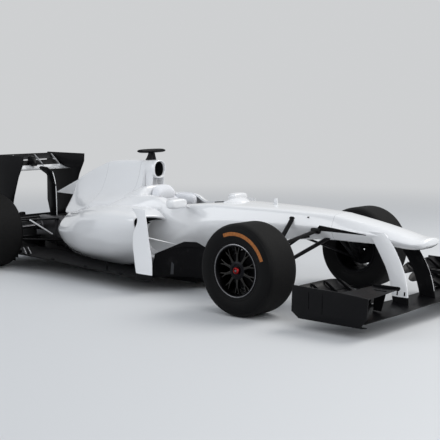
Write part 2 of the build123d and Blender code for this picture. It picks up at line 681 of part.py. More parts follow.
def driveshaft():
    """Left halfshaft with the hub axle that carries the rear wheel."""
    x = REAR_AXLE_X
    z = TYRE_RADIUS
    axle_start = KINGPIN_Y - 100
    shaft = flat_rod((x, DRIVE_FLANGE_Y + 40, z), (x, axle_start + 10, z), HALFSHAFT_RADIUS)
    axle = rod((x, axle_start, z), (x, axle_end(), z), AXLE_RADIUS)
    joint = flat_rod((x, DRIVE_FLANGE_Y + SEAT_GAP, z), (x, DRIVE_FLANGE_Y + 70, z), SHAFT_JOINT_RADIUS)
    return shaft + axle + joint


def rear_wishbones(gearbox_body, uprights):
    high = TYRE_RADIUS + 80
    low = TYRE_RADIUS - 80
    y_outer = 630
    x = REAR_AXLE_X
    arms = [
        strut((x, y_outer, high), (x + 250, 60, 410), 54, 17), strut((x, y_outer, high), (x - 60, 60, 405), 46, 17),
        strut((x, y_outer, low), (x + 330, 80, 220), 58, 19), strut((x, y_outer, low), (x - 40, 60, 230), 52, 19)]
    upper = arms[0] + arms[1] - gearbox_body - uprights
    lower = arms[2] + arms[3] - gearbox_body - uprights
    return Compound([*upper.solids(), *lower.solids()])


# Rear wing pillar, side view from its foot up the front edge and back down: x, z
PILLAR_OUTLINE = [
    (-2964, 400), (-2966, 572), (-2972, 714), (-2992, 780), (-3012, 846), (-3190, 878), (-3260, 878), (-3250, 800),
    (-3150, 700), (-3100, 560), (-3090, 400),
]
PILLAR_THICKNESS = 14.0


def rear_wing_main(gearbox_body):
    """Main plane with the flap actuator's pod, and the pillar that carries them on the gearbox."""
    inner_face = REAR_WING_HALF - REAR_PLATE_THICKNESS
    plane = blade(-3180, 852, 235, 20, -inner_face, inner_face, depth=0.17, belly=0.10)
    pod = plate_y([(-3255, 905), (-3290, 972), (-3372, 975), (-3375, 885), (-3262, 880)], -17, 34)
    pillar = largest(plate_y(PILLAR_OUTLINE, -PILLAR_THICKNESS / 2, PILLAR_THICKNESS) - gearbox_body - plane)
    return plane + pod + pillar


def rear_wing_flap():
    inner_face = REAR_WING_HALF - REAR_PLATE_THICKNESS - FLAP_SIDE_GAP
    flap = slat(*FLAP_LEAD, FLAP_CHORD, FLAP_PITCH, -inner_face, inner_face, depth=0.10, belly=0.04)
    pitch = math.radians(FLAP_PITCH)
    hinge_x = FLAP_LEAD[0] - FLAP_CHORD * FLAP_HINGE_SHARE * math.cos(pitch)
    hinge_z = FLAP_LEAD[1] + FLAP_CHORD * FLAP_HINGE_SHARE * math.sin(pitch)
    pin_end = REAR_WING_HALF - REAR_PLATE_THICKNESS - SEAT_GAP
    return flap + rod((hinge_x, -pin_end, hinge_z), (hinge_x, pin_end, hinge_z), FLAP_PIN_RADIUS)


def rear_wing_endplates():
    foot_rear = REAR_AXLE_X - 350
    foot_front = REAR_AXLE_X - 150
    outline = [(-2990, 925), (-2985, REAR_WING_TOP), (REAR_X + 12, REAR_WING_TOP), (REAR_X, 960), (REAR_X, 520),
               (-3480, 300), (foot_rear, roof_z(foot_rear)), (foot_front, roof_z(foot_front)), (-3180, 420),
               (-3125, 625), (-3060, 800)]
    return pair(plate_y(outline, REAR_WING_HALF - REAR_PLATE_THICKNESS, REAR_PLATE_THICKNESS))


def beam_wing(crash):
    inner_face = REAR_WING_HALF - REAR_PLATE_THICKNESS
    return blade(-3300, 345, 150, 22, -inner_face, inner_face, depth=0.10, belly=0.06) - crash


def headrest():
    """Padded surround beside and behind the driver's head, with the dome at its back."""
    back_x = COCKPIT_REAR_X + 2
    sides = plate_z([(-1340, COCKPIT_HALF), (back_x, COCKPIT_HALF - 2), (back_x, 2 - COCKPIT_HALF),
                     (-1340, -COCKPIT_HALF)], 600, 110)
    hollow = plate_z([(-1300, 140), (-1500, 140), (-1500, -140), (-1300, -140)], 590, 200)
    dome_rows = [(back_x, 150, 795), (-1530, 145, 797), (-1470, 125, 770), (-1440, 115, 712)]
    dome = panelled([across(x, [(half, 640), (half, top_z), (-half, top_z), (-half, 640)], [0, 48, 48, 0])
                 for x, half, top_z in dome_rows])
    return sides - hollow + (dome - plate_z([(-1380, 140), (-1500, 140), (-1500, -140), (-1380, -140)], 590, 121))


# Seat side view, from the front edge along the outside and back along the inside
SEAT_PROFILE = [(-1150, 120), (-1190, 70), (-1560, 70), (-1632, 560), (-1602, 566), (-1520, 135), (-1200, 128),
                (-1160, 150)]
SEAT_HALF = 140.0


def seat():
    return plate_y(SEAT_PROFILE, -SEAT_HALF, 2 * SEAT_HALF)


def mirrors(cell):
    housing = panelled([
        across(-1070, [(296, 662), (296, 734), (460, 734), (460, 662)], [14] * 4, 1),
        across(-1032, [(290, 656), (290, 740), (466, 740), (466, 656)], [20] * 4, 1),
        across(-990, [(306, 668), (306, 728), (450, 728), (450, 668)], [20] * 4, 1)])
    stalk = strut((-1030, 330, 682), (-1030, 200, 640), 26, 10)
    return pair(largest(housing + stalk - cell))


def roll_hoop_camera():
    body = panelled([
        across(-1731, [(148, 1073), (148, 1087), (-148, 1087), (-148, 1073)], [3] * 4, 1),
        across(-1696, [(152, 1061), (152, 1099), (-152, 1099), (-152, 1061)], [10] * 4, 1),
        across(-1661, [(150, 1068), (150, 1092), (-150, 1092), (-150, 1068)], [8] * 4, 1)])
    post = Pos(-1700, 0, 1033) * Box(100, 34, 62)
    return body + post


def pitot_mast(cell):
    return plate_y([(-312, 690), (-322, 756), (-352, 756), (-366, 690)], -9, 18) - cell


def steering_plane():
    tilt = math.radians(WHEEL_TILT)
    return Plane(origin=WHEEL_CENTRE, x_dir=(0, 1, 0), z_dir=(-math.cos(tilt), 0, math.sin(tilt)))


def steering_wheel():
    outline = softened([(-140, -82), (140, -82), (140, 82), (-140, 82)], [40] * 4, 2)
    rim_face = make_face(Polyline(*[(p.X, p.Y) for p in outline], close=True))
    grip = make_face(Polyline((78, -30), (112, -30), (112, 30), (78, 30), close=True))
    return steering_plane() * extrude(rim_face - grip - Pos(-190, 0) * grip, amount=HAND_WHEEL_DEPTH)


def steering_column(cell):
    tilt = math.radians(WHEEL_TILT)
    centre = Vector(*WHEEL_CENTRE)
    forwards = Vector(math.cos(tilt), 0, -math.sin(tilt))
    return largest(rod(centre + forwards * SEAT_GAP, centre + forwards * 420, COLUMN_RADIUS) - cell)


def build():
    cell = monocoque()
    nose = nose_cone()
    wing = front_wing_main()
    cover = engine_cover()
    hoop = largest(roll_hoop() - cell)
    engine = engine_block()
    transmission = gearbox()
    crash = crash_structure()
    bore_start = (REAR_AXLE_X, 500, TYRE_RADIUS)
    bore_end = (REAR_AXLE_X, OVERALL_WIDTH / 2, TYRE_RADIUS)
    upright = rear_upright(rod(bore_start, bore_end, AXLE_RADIUS + PIN_CLEARANCE))
    left_parts = {
        "tyre_front": tyre(0, FRONT_TYRE_WIDTH),
        "tyre_rear": tyre(REAR_AXLE_X, REAR_TYRE_WIDTH),
        "rim_front": rim(0, FRONT_TYRE_WIDTH),
        "rim_rear": rim(REAR_AXLE_X, REAR_TYRE_WIDTH),
        "upright_front": front_upright(),
        "driveshaft": driveshaft(),
        "sidepod": sidepod(cell, cover, engine, transmission),
    }
    parts = {
        "monocoque": cell,
        "nose_cone": nose,
        "nose_pylons": nose_pylons(nose, wing),
        "front_wing_main": wing,
        "front_wing_flaps": front_wing_flaps(),
        "front_wing_endplates": front_wing_endplates(),
        "engine_cover": cover,
        "roll_hoop": hoop,
        "side_vanes": side_vanes(),
        "floor": floor(),
        "plank": plank(),
        "diffuser": diffuser(),
        "bargeboards": bargeboards(),
        "engine_block": engine,
        "gearbox": transmission,
        "crash_structure": crash,
        "rear_uprights": pair(upright),
        "rear_wishbones": pair(rear_wishbones(transmission, upright)),
        "front_wishbones": pair(front_wishbones(cell)),
        "track_rods": track_rods(),
        "rear_wing_main": rear_wing_main(transmission),
        "rear_wing_flap": rear_wing_flap(),
        "rear_wing_endplates": rear_wing_endplates(),
        "beam_wing": beam_wing(crash),
        "headrest": largest(headrest() - cell),
        "seat": largest(seat() - cell),
        "mirrors": mirrors(cell),
        "roll_hoop_camera": roll_hoop_camera() - cover - hoop,
        "pitot_mast": pitot_mast(cell),
        "steering_wheel": steering_wheel(),
        "steering_column": steering_column(cell),
    }
    for name, shape in left_parts.items():
        parts[f"{name}_left"] = shape
        parts[f"{name}_right"] = mirrored(shape)
    return parts


def export(parts):
    os.makedirs("parts", exist_ok=True)
    for name, shape in parts.items():
        solids = shape.solids()
        whole = solids[0] if len(solids) == 1 else Compound(solids)
        export_step(whole.moved(Location((-ORIGIN_X, 0, 0))), f"parts/{name}.step")


export(build())
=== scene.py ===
import math

import bmesh
import bpy
from mathutils import Matrix, Vector


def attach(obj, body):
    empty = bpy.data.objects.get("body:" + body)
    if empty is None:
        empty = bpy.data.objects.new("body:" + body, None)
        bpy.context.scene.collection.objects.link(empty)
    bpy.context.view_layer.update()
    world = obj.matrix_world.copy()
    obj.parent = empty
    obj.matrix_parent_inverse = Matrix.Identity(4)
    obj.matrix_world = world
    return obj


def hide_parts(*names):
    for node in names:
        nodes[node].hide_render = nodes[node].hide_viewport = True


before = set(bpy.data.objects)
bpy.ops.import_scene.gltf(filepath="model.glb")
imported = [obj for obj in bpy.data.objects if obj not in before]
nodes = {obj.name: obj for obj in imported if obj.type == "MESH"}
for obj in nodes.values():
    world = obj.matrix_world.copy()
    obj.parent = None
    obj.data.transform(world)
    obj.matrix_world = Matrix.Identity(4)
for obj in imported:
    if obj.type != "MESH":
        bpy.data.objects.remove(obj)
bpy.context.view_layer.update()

# Tables are in millimetres, with x from the front axle, y to the left and z up from the ground.
# Metres are used for AXLE, the front axle's place in the shared frame, for bevels, for the
# sections of bars and swept rods, and in finishes.
AXLE = 1.2235
WHEELBASE = 3100
REAR_AXLE = -WHEELBASE
AXLE_Z = 330
HALF_WIDTH = 900
FRONT_TYRE = 315
REAR_TYRE = 370
SAME_POINT = 2e-5
NEAR = 1e-4
X, Y, Z = range(3)


def at(x, y=0, z=0):
    """A point of the shared frame."""
    return Vector((x / 1000 + AXLE, y / 1000, z / 1000))


def section(x, points):
    """A slice across the car."""
    return [at(x, y, z) for y, z in points]


def side_view(y, points):
    return [at(x, y, z) for x, z in points]


def plan(z, points):
    return [at(x, y, z) for x, y in points]


def mirrored(half):
    """A closed outline of y and z from its left half."""
    return half + [(-y, z) for y, z in reversed(half) if y]


def both_ways(half):
    """A closed outline from its half on one side of its long axis."""
    return [*half, *((along, -off) for along, off in reversed(half) if off)]


def between(rows, x):
    """The row of a table at x, in a straight line between its neighbours."""
    rows = sorted(rows, key=lambda row: row[0])
    if x <= rows[0][0]:
        return rows[0][1:]
    for low, high in zip(rows, rows[1:]):
        if x <= high[0]:
            share = (x - low[0]) / (high[0] - low[0])
            return [a + (b - a) * share for a, b in zip(low[1:], high[1:])]
    return rows[-1][1:]


# Modelling


def object_mode():
    if bpy.context.mode != "OBJECT":
        bpy.ops.object.mode_set(mode="OBJECT")


def edit_all():
    bpy.ops.object.mode_set(mode="EDIT")
    bpy.ops.mesh.select_all(action="SELECT")


def nothing_chosen():
    object_mode()
    bpy.ops.object.select_all(action="DESELECT")


def take(obj):
    nothing_chosen()
    obj.select_set(True)
    bpy.context.view_layer.objects.active = obj


def choose(obj, test, kind="verts"):
    """Selects in edit mode what passes the test, by its place or normal."""
    mesh = bmesh.from_edit_mesh(obj.data)
    for group in (mesh.verts, mesh.edges, mesh.faces):
        for part in group:
            part.select = False
    mesh.select_mode = {kind[:-1].upper()}
    for part in getattr(mesh, kind):
        if test(part):
            part.select = True
    mesh.select_flush_mode()
    bmesh.update_edit_mesh(obj.data)


def choose_points(obj, points):
    choose(obj, lambda vert: any((vert.co - point).length < SAME_POINT for point in points))


def drawn(name, rings, closed=True):
    """Draws loops of edges corner by corner, each from a small plane merged to its first corner."""
    nothing_chosen()
    bpy.ops.mesh.primitive_plane_add(size=0.001, location=rings[0][0])
    obj = bpy.context.active_object
    obj.name = name
    bpy.ops.object.transform_apply()
    edit_all()
    for number, ring in enumerate(rings):
        if number:
            bpy.ops.mesh.select_all(action="DESELECT")
            bpy.ops.mesh.primitive_plane_add(size=0.001, location=ring[0])
        bpy.ops.mesh.merge(type="CENTER")
        for here, there in zip(ring, ring[1:]):
            bpy.ops.mesh.extrude_vertices_move(TRANSFORM_OT_translate={"value": there - here})
        if closed:
            choose_points(obj, [ring[0], ring[-1]])
            bpy.ops.mesh.edge_face_add()
    return obj


def outward():
    bpy.ops.mesh.select_all(action="SELECT")
    bpy.ops.mesh.normals_make_consistent(inside=False)


def bridged(name, rings):
    """A skin over drawn loops, closed at both ends and left in edit mode."""
    obj = drawn(name, rings)
    for first, second in zip(rings, rings[1:]):
        choose_points(obj, first + second)
        bpy.ops.mesh.bridge_edge_loops()
    for ring in (rings[0], rings[-1]):
        choose_points(obj, ring)
        bpy.ops.mesh.edge_face_add()
    outward()
    return obj


def creased(obj, test, amount=1.0):
    choose(obj, test, "edges")
    bpy.ops.transform.edge_crease(value=amount)


def on_plane(axis, *ends):
    """A test for edges that lie on a plane across the axis at one of the ends."""
    return lambda edge: any(all(abs(vert.co[axis] - end) < NEAR for vert in edge.verts) for end in ends)


def across(edge):
    """True for an edge that lies across the car."""
    return abs(edge.verts[0].co.x - edge.verts[1].co.x) < NEAR


def modified(obj, kind, **settings):
    take(obj)
    made = obj.modifiers.new(kind, kind)
    for key, value in settings.items():
        setattr(made, key, value)
    bpy.ops.object.modifier_apply(modifier=made.name)
    return obj


def rounded(obj, levels=2):
    return modified(obj, "SUBSURF", levels=levels, render_levels=levels)


def edged(obj, width):
    return modified(obj, "BEVEL", width=width, segments=2, limit_method="ANGLE", angle_limit=math.radians(30))


def smooth_skin(name, rings, sharp=None, amount=1.0):
    """A rounded skin over drawn loops. Edges that pass the test sharp keep their crease."""
    obj = bridged(name, rings)
    if sharp:
        creased(obj, sharp, amount)
    object_mode()
    return rounded(obj)


def plate(name, points, thickness, bevel=0.0015):
    """A flat outline grown by the vector thickness, with broken edges."""
    obj = drawn(name, [points])
    bpy.ops.mesh.select_all(action="SELECT")
    bpy.ops.mesh.edge_face_add()
    bpy.ops.mesh.extrude_region_move(TRANSFORM_OT_translate={"value": thickness})
    outward()
    object_mode()
    return edged(obj, bevel) if bevel else obj


def upright(name, y, outline, width, bevel=0.0015):
    """A plate cut to an outline of x and z, from y to the left."""
    return plate(name, side_view(y, outline), Vector((0, width / 1000, 0)), bevel)


def level(name, z, outline, height, bevel=0.0015):
    """A plate cut to an outline of x and y, from z up."""
    return plate(name, plan(z, outline), Vector((0, 0, height / 1000)), bevel)


def block(name, low, high, bevel=0.0):
    """A box between two corners."""
    (x0, y0, z0), (x1, y1, z1) = low, high
    return upright(name, y0, ((x0, z0), (x1, z0), (x1, z1), (x0, z1)), y1 - y0, bevel)


def pillow(name, low, high, soft=18, crown=0.0):
    """A rounded block between two corners, pulled in at its ends and swollen by crown at its middle."""
    (x0, y0, z0), (x1, y1, z1) = low, high
    rings = []
    half = ((0, soft), (soft * 0.45, soft * 0.25), (soft * 1.3, 0))
    pulls = [(x0 + step, pull) for step, pull in half]
    pulls += [((x0 + x1) / 2, -crown)]
    pulls += [(x1 - step, pull) for step, pull in reversed(half)]
    for x, pull in pulls:
        left, right, low_z, high_z = y0 + pull, y1 - pull, z0 + pull, z1 - pull
        corner = min(soft, (right - left) / 3, (high_z - low_z) / 3)
        ring = (
            (left + corner, low_z),
            (right - corner, low_z),
            (right, low_z + corner),
            (right, high_z - corner),
            (right - corner, high_z),
            (left + corner, high_z),
            (left, high_z - corner),
            (left, low_z + corner),
        )
        rings.append(section(x, ring))
    return smooth_skin(name, rings)


def bar(name, start, end, chord, thickness, points=14, taper=1.0):
    """A strut of rounded streamlined section, its chord along the car."""
    along = (end - start).normalized()
    forward = Vector((1, 0, 0))
    forward = (forward - along * forward.dot(along)).normalized()
    up = along.cross(forward)
    rings = []
    for share, size in ((0, 1), (0.5, 1), (1, taper)):
        centre = start.lerp(end, share)
        ring = []
        for number in range(points):
            turn = math.tau * number / points
            wide = math.cos(turn)
            tall = math.sin(turn) * (1 + 0.28 * min(wide, 0))
            ring.append(centre + (forward * wide * chord / 2 + up * tall * thickness / 2) * size)
        rings.append(ring)
    obj = bridged(name, rings)
    object_mode()
    return obj


def swept(name, path, radius, points=10, levels=1):
    """A round rod through the points of a path, with one radius or one for each point."""
    sizes = radius if isinstance(radius, (list, tuple)) else [radius] * len(path)
    turns = [math.tau * count / points for count in range(points)]
    rings = []
    side = None
    for number, (here, size) in enumerate(zip(path, sizes)):
        ahead = (path[min(number + 1, len(path) - 1)] - path[max(number - 1, 0)]).normalized()
        side = ahead.orthogonal() if side is None else side - ahead * side.dot(ahead)
        side.normalize()
        other = ahead.cross(side)
        rings.append([here + (side * math.cos(turn) + other * math.sin(turn)) * size for turn in turns])
    obj = bridged(name, rings)
    object_mode()
    return rounded(obj, levels) if levels else obj


def spun(name, profile, centre, steps, closed=True, axis=(0, 1, 0)):
    """A drawn outline turned about the line through centre along an axis."""
    obj = drawn(name, [profile], closed)
    bpy.ops.mesh.select_all(action="SELECT")
    bpy.ops.mesh.spin(steps=steps, angle=math.tau, center=centre, axis=axis)
    bpy.ops.mesh.select_all(action="SELECT")
    bpy.ops.mesh.remove_doubles(threshold=SAME_POINT)
    outward()
    object_mode()
    return obj


def axle_spun(name, x, profile, steps=96, closed=True):
    """A profile of radius and y turned about the axle at x."""
    return spun(name, [at(x, y, AXLE_Z + radius) for radius, y in profile], at(x, 0, AXLE_Z), steps, closed)


def repeated(obj, count, centre):
    """Copies what the mesh holds round the line through centre along Y."""
    take(obj)
    edit_all()
    turn = math.tau * (count - 1) / count
    bpy.ops.mesh.spin(steps=count - 1, dupli=True, angle=turn, center=centre, axis=(0, 1, 0))
    object_mode()


def joined(name, parts):
    nothing_chosen()
    for part in parts:
        part.select_set(True)
    bpy.context.view_layer.objects.active = parts[0]
    if len(parts) > 1:
        bpy.ops.object.join()
    parts[0].name = name
    return parts[0]


def twin(obj, name):
    """A copy on the car's other side."""
    take(obj)
    bpy.ops.object.duplicate()
    other = bpy.context.active_object
    other.name = name
    edit_all()
    bpy.ops.transform.mirror(constraint_axis=(False, True, False), center_override=(0, 0, 0))
    outward()
    object_mode()
    return other


def pair(name, *parts):
    """The parts on both of the car's sides, as one piece."""
    obj = joined(name, parts)
    return joined(name, [obj, twin(obj, name + "_other")])


def soft_edges(obj, angle=35):
    take(obj)
    bpy.ops.object.shade_smooth_by_angle(angle=math.radians(angle))


def painted(obj, finish):
    obj.data.materials.clear()
    obj.data.materials.append(finish)
    return obj


def refinished(obj, finish, test):
    """Gives the faces that pass the test a second finish."""
    obj.data.materials.append(finish)
    for face in obj.data.polygons:
        if test(face):
            face.material_index = len(obj.data.materials) - 1


def cut(obj, cutter, finish):
    """Cuts the cutter's shape out of the object, with the finish on the new faces."""
    painted(cutter, finish)
    modified(obj, "BOOLEAN", object=cutter, operation="DIFFERENCE", solver="EXACT", material_mode="TRANSFER")
    bpy.data.objects.remove(cutter)
    soft_edges(obj)
    return obj


def done(obj, finish, node=None, angle=35, body="chassis"):
    """Rides a finished piece on its body, in its finish, for the node that it shows."""
    take(obj)
    bpy.ops.object.transform_apply()
    soft_edges(obj, angle)
    if finish is not None:
        painted(obj, finish)
    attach(obj, body)
    if node:
        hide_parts(node)
    return obj


def done_each(obj, name, finish, node, angle=35, body="chassis"):
    """Rides a left piece and its twin. A star in their name or body stands for left or right."""
    pieces = []
    for piece, side in ((obj, "left"), (twin(obj, name), "right")):
        piece.name = name.replace("*", side)
        pieces.append(done(piece, finish, node + side, angle, body.replace("*", side)))
    return pieces


# Finishes


class Value:
    """One output of a shader node. Arithmetic on it adds the nodes that it needs."""

    def __init__(self, shader, socket):
        self.shader = shader
        self.socket = socket

    def math(self, operation, *terms):
        return self.shader.node("ShaderNodeMath", {"operation": operation}, dict(enumerate(terms)))

    def __add__(self, other):
        return self.math("ADD", self, other)

    __radd__ = __add__

    def __sub__(self, other):
        return self.math("SUBTRACT", self, other)

    def __rsub__(self, other):
        return self.math("SUBTRACT", other, self)

    def __mul__(self, other):
        return self.math("MULTIPLY", self, other)

    __rmul__ = __mul__

    def __abs__(self):
        return self.math("ABSOLUTE", self)

    def __gt__(self, other):
        return self.math("GREATER_THAN", self, other)

    def __lt__(self, other):
        return self.math("LESS_THAN", self, other)

    def most(self, other):
        return self.math("MAXIMUM", self, other)

    def sine(self):
        return self.math("SINE", self)

    def root(self):
        return self.math("SQRT", self)

    def angle(self, other):
        return self.math("ARCTAN2", self, other)

    def ramp(self, low, high, out_low=0.0, out_high=1.0):
        values = {0: self, 1: low, 2: high, 3: out_low, 4: out_high}
        return self.shader.node("ShaderNodeMapRange", {"interpolation_type": "SMOOTHSTEP"}, values)


class Shader:
    """A node tree under making."""

    def __init__(self, tree):
        self.tree = tree

    def node(self, kind, settings=None, values=None, output=0):
        made = self.tree.nodes.new(kind)
        for key, value in (settings or {}).items():
            setattr(made, key, value)
        for key, value in (values or {}).items():
            self.give(made.inputs[key], value)
        return Value(self, made.outputs[output])

    def give(self, socket, value):
        if isinstance(value, Value):
            self.tree.links.new(value.socket, socket)
        else:
            socket.default_value = value

    def show(self, surface):
        """Shows the surface at the tree's output."""
        outputs = [node for node in self.tree.nodes if "ShaderNodeOutput" in node.bl_idname]
        self.give(outputs[0].inputs["Surface"], surface)

    def seen_by(self, *rays):
        """One for what rays of the named kinds meet."""
        first, *others = [self.node("ShaderNodeLightPath", output=f"Is {ray} Ray") for ray in rays]
        for other in others:
            first = first.most(other)
        return first


class Finish(Shader):
    """A material under making: a principled shader fed by named values."""

    def __init__(self, name, colour, roughness=0.5, **fixed):
        self.material = bpy.data.materials.new(name)
        self.material.use_nodes = True
        super().__init__(self.material.node_tree)
        self.shader = self.tree.nodes["Principled BSDF"]
        self.feed("Base Color", (*colour, 1))
        self.feed("Roughness", roughness)
        for key, value in fixed.items():
            self.feed(key.replace("_", " ").title().replace("Ior", "IOR"), value)
        self.place = self.node("ShaderNodeTexCoord", output="Object")

    def feed(self, socket, value):
        self.give(self.shader.inputs[socket], value)

    def axes(self):
        split = self.node("ShaderNodeSeparateXYZ", None, {0: self.place}).socket.node
        return [Value(self, out) for out in split.outputs]

    def noise(self, scale, detail=3.0, roughness=0.5, stretch=(1, 1, 1)):
        point = self.node("ShaderNodeMapping", None, {"Vector": self.place, "Scale": stretch})
        values = {"Vector": point, "Scale": scale, "Detail": detail, "Roughness": roughness}
        return self.node("ShaderNodeTexNoise", None, values)

    def mixed(self, mask, first, second):
        values = {0: mask}
        for socket, colour in ((6, first), (7, second)):
            values[socket] = colour if isinstance(colour, Value) else (*colour, 1)
        return self.node("ShaderNodeMix", {"data_type": "RGBA"}, values, output=2)

    def bump(self, height, strength, distance):
        values = {"Height": height, "Strength": strength, "Distance": distance}
        self.feed("Normal", self.node("ShaderNodeBump", None, values))


JOINT_WIDTH = 0.0016


def body_paint(name, joints=()):
    """White paint, with hairline joints across the car where x is one of the given places."""
    finish = Finish(name, (0.82, 0.83, 0.84), 0.24, coat_weight=1.0, coat_roughness=0.04)
    x, _, z = finish.axes()
    dust = finish.noise(60.0, 4.0, 0.6)
    tone = finish.mixed(finish.noise(3.0, 2.0) * 0.5, (0.83, 0.835, 0.845), (0.80, 0.81, 0.83))
    # Darker towards the bottom, in patches of fine noise.
    darker_low_down = (z.ramp(0.50, 0.05) * dust).ramp(0.35, 0.9)
    tone = finish.mixed(darker_low_down * 0.10, tone, (0.35, 0.34, 0.33))
    if joints:
        masks = [1 - abs(x - place).ramp(JOINT_WIDTH * 0.35, JOINT_WIDTH * 0.65) for place in joints]
        joint = masks[0].most(masks[-1])
        tone = finish.mixed(joint * 0.8, tone, (0.08, 0.08, 0.09))
        finish.bump(1 - joint, 0.5, 0.0006)
    else:
        finish.bump(finish.noise(900.0, 1.0), 0.02, 0.0002)
    finish.feed("Base Color", tone)
    finish.feed("Roughness", dust.ramp(0.3, 0.8, 0.17, 0.27))
    return finish.material


def carbon(name, dark, light, roughness, coat, size=0.006, scuff=0.0):
    """A two by two twill of flat tows, worn pale by scuff."""
    finish = Finish(name, dark, roughness, coat_weight=coat, coat_roughness=0.12, specular_ior_level=0.06)
    x, y, z = finish.axes()
    over = (x + y * 0.8) * (math.tau / size)
    along = (z + y * 0.6) * (math.tau / size)
    tows = (over.sine() * along.sine() + (over + along).sine()).ramp(-0.8, 0.8)
    wear = finish.noise(14.0, 5.0, 0.65)
    tone = finish.mixed(tows, dark, light)
    if scuff:
        tone = finish.mixed(wear.ramp(0.5, 0.8) * scuff, tone, (0.10, 0.098, 0.095))
    finish.feed("Base Color", tone)
    finish.feed("Roughness", tows.ramp(0, 1, roughness - 0.06, roughness + 0.06) + wear * 0.06)
    finish.bump(tows, 0.12, 0.0003)
    return finish.material


# Radii where the tread's scrubbing starts and is full, radii of the band, then its angle and half length
TREAD_FROM, TREAD_FULL = 0.318, 0.328
BAND_INNER, BAND_OUTER = 0.247, 0.273
BAND_MIDDLE, BAND_REACH = 0.41, 0.80


def rubber():
    """Tyre rubber, finely scrubbed round the tread, with a plain band on part of each sidewall."""
    finish = Finish("tyre_rubber", (0.010, 0.010, 0.010), 0.62, specular_ior_level=0.08)
    x, _, z = finish.axes()
    front = x > 0.0
    from_axle = x - (AXLE * front + (AXLE - WHEELBASE / 1000) * (1 - front))
    height = z - AXLE_Z / 1000
    radius = (from_axle * from_axle + height * height).root()
    tread = radius.ramp(TREAD_FROM, TREAD_FULL)
    streaks = finish.noise(900.0, 2.0, 0.5, (0.03, 1.0, 0.03))
    grain = finish.noise(260.0, 4.0, 0.6)
    tone = finish.mixed(grain, (0.003, 0.003, 0.0033), (0.006, 0.006, 0.0064))
    tone = finish.mixed(tread * grain.ramp(0.3, 0.7) * 0.7, tone, (0.020, 0.0195, 0.019))
    lean = from_axle.angle(height) - BAND_MIDDLE
    band = (radius > BAND_INNER) * (radius < BAND_OUTER) * (abs(lean) < BAND_REACH)
    wear = finish.noise(70.0, 4.0, 0.7).ramp(0.35, 0.62, 0.62, 1.0)
    finish.feed("Base Color", finish.mixed(band * wear, tone, (0.36, 0.135, 0.042)))
    rings = (radius * 1500.0).sine() * (1 - tread)
    finish.feed("Roughness", tread.ramp(0, 1, 0.44, 0.66) + grain * 0.10)
    finish.bump(grain + rings * 0.25 + streaks * tread, 0.20, 0.0006)
    return finish.material


def brushed(name, colour, roughness, fine=240.0, depth=0.15):
    finish = Finish(name, colour, roughness, metallic=1.0)
    grain = finish.noise(fine, 3.0, 0.6, (1, 0.2, 1))
    marks = finish.noise(25.0, 5.0, 0.65)
    dim = tuple(part * 0.72 for part in colour)
    finish.feed("Base Color", finish.mixed(marks.ramp(0.35, 0.75), colour, dim))
    finish.feed("Roughness", grain.ramp(0.3, 0.7, max(roughness - 0.09, 0.05), roughness + 0.09))
    finish.bump(grain, depth, 0.0004)
    return finish.material


def skid_wood():
    finish = Finish("skid_laminate", (0.20, 0.13, 0.08), 0.7)
    layers = finish.noise(40.0, 6.0, 0.7, (0.2, 1.0, 3.0))
    scratch = finish.noise(160.0, 3.0, 0.7, (0.05, 1.0, 1.0))
    tone = finish.mixed(layers, (0.13, 0.085, 0.05), (0.27, 0.19, 0.12))
    finish.feed("Base Color", finish.mixed(scratch.ramp(0.55, 0.8) * 0.6, tone, (0.40, 0.36, 0.31)))
    finish.bump(layers + scratch * 0.4, 0.4, 0.001)
    return finish.material


def cloth(name, colour, size=0.004):
    finish = Finish(name, colour, 0.85, sheen_weight=0.3)
    x, y, z = finish.axes()
    threads = ((x + y) * (math.tau / size)).sine() * ((z + y * 0.5) * (math.tau / size)).sine()
    cloud = finish.noise(18.0, 4.0, 0.6)
    light = tuple(min(part * 1.35 + 0.01, 1.0) for part in colour)
    finish.feed("Base Color", finish.mixed(threads.ramp(-1, 1) * 0.5 + cloud * 0.3, colour, light))
    finish.bump(threads + cloud, 0.35, 0.0008)
    return finish.material


def lamp_red():
    finish = Finish("rear_lamp_red", (0.35, 0.01, 0.01), 0.18, coat_weight=0.8)
    _, y, z = finish.axes()
    cells = ((y * 420.0).sine() * (z * 420.0).sine()).ramp(-0.4, 0.6)
    finish.feed("Base Color", finish.mixed(cells, (0.16, 0.004, 0.004), (0.52, 0.015, 0.012)))
    finish.bump(cells, 0.4, 0.001)
    return finish.material


def mirror_glass():
    finish = Finish("mirror_glass", (0.75, 0.78, 0.82), 0.04, metallic=1.0)
    finish.feed("Roughness", finish.noise(50.0, 3.0).ramp(0.3, 0.8, 0.02, 0.07))
    return finish.material


SOOT = (0.003, 0.003, 0.0035)
WHITE = body_paint("body_white_paint")
WHITE_NOSE = body_paint("body_white_front", [AXLE + 0.302])
WHITE_COVER = body_paint("body_white_cover", [AXLE - 1.76, AXLE - 2.20])
WING_CARBON = carbon("wing_carbon_gloss", SOOT, (0.007, 0.007, 0.008), 0.36, 0.08)
FLOOR_CARBON = carbon("floor_carbon_satin", SOOT, (0.008, 0.008, 0.009), 0.52, 0.0, scuff=0.10)
ARM_CARBON = carbon("suspension_carbon", SOOT, (0.007, 0.007, 0.008), 0.38, 0.10, 0.004)
INNER = carbon("cockpit_inner_carbon", (0.05, 0.052, 0.056), (0.075, 0.077, 0.082), 0.55, 0.0, 0.008)
DEEP_BLACK = carbon("inner_carbon_matt", (0.006, 0.006, 0.006), (0.012, 0.012, 0.012), 0.7, 0.0, 0.008)
RUBBER = rubber()
RIM_DARK = brushed("rim_dark_metal", (0.014, 0.014, 0.016), 0.34)
# The rim's dark metal made lighter for the spokes: a painted highlight.
RIM_SPOKE_PAINTED_HIGHLIGHT = brushed("rim_spoke_metal", (0.034, 0.033, 0.032), 0.22)
RIM_LIP = brushed("rim_machined_lip", (0.20, 0.20, 0.21), 0.24, fine=500.0)
STEEL = brushed("shaft_steel", (0.14, 0.14, 0.15), 0.36)
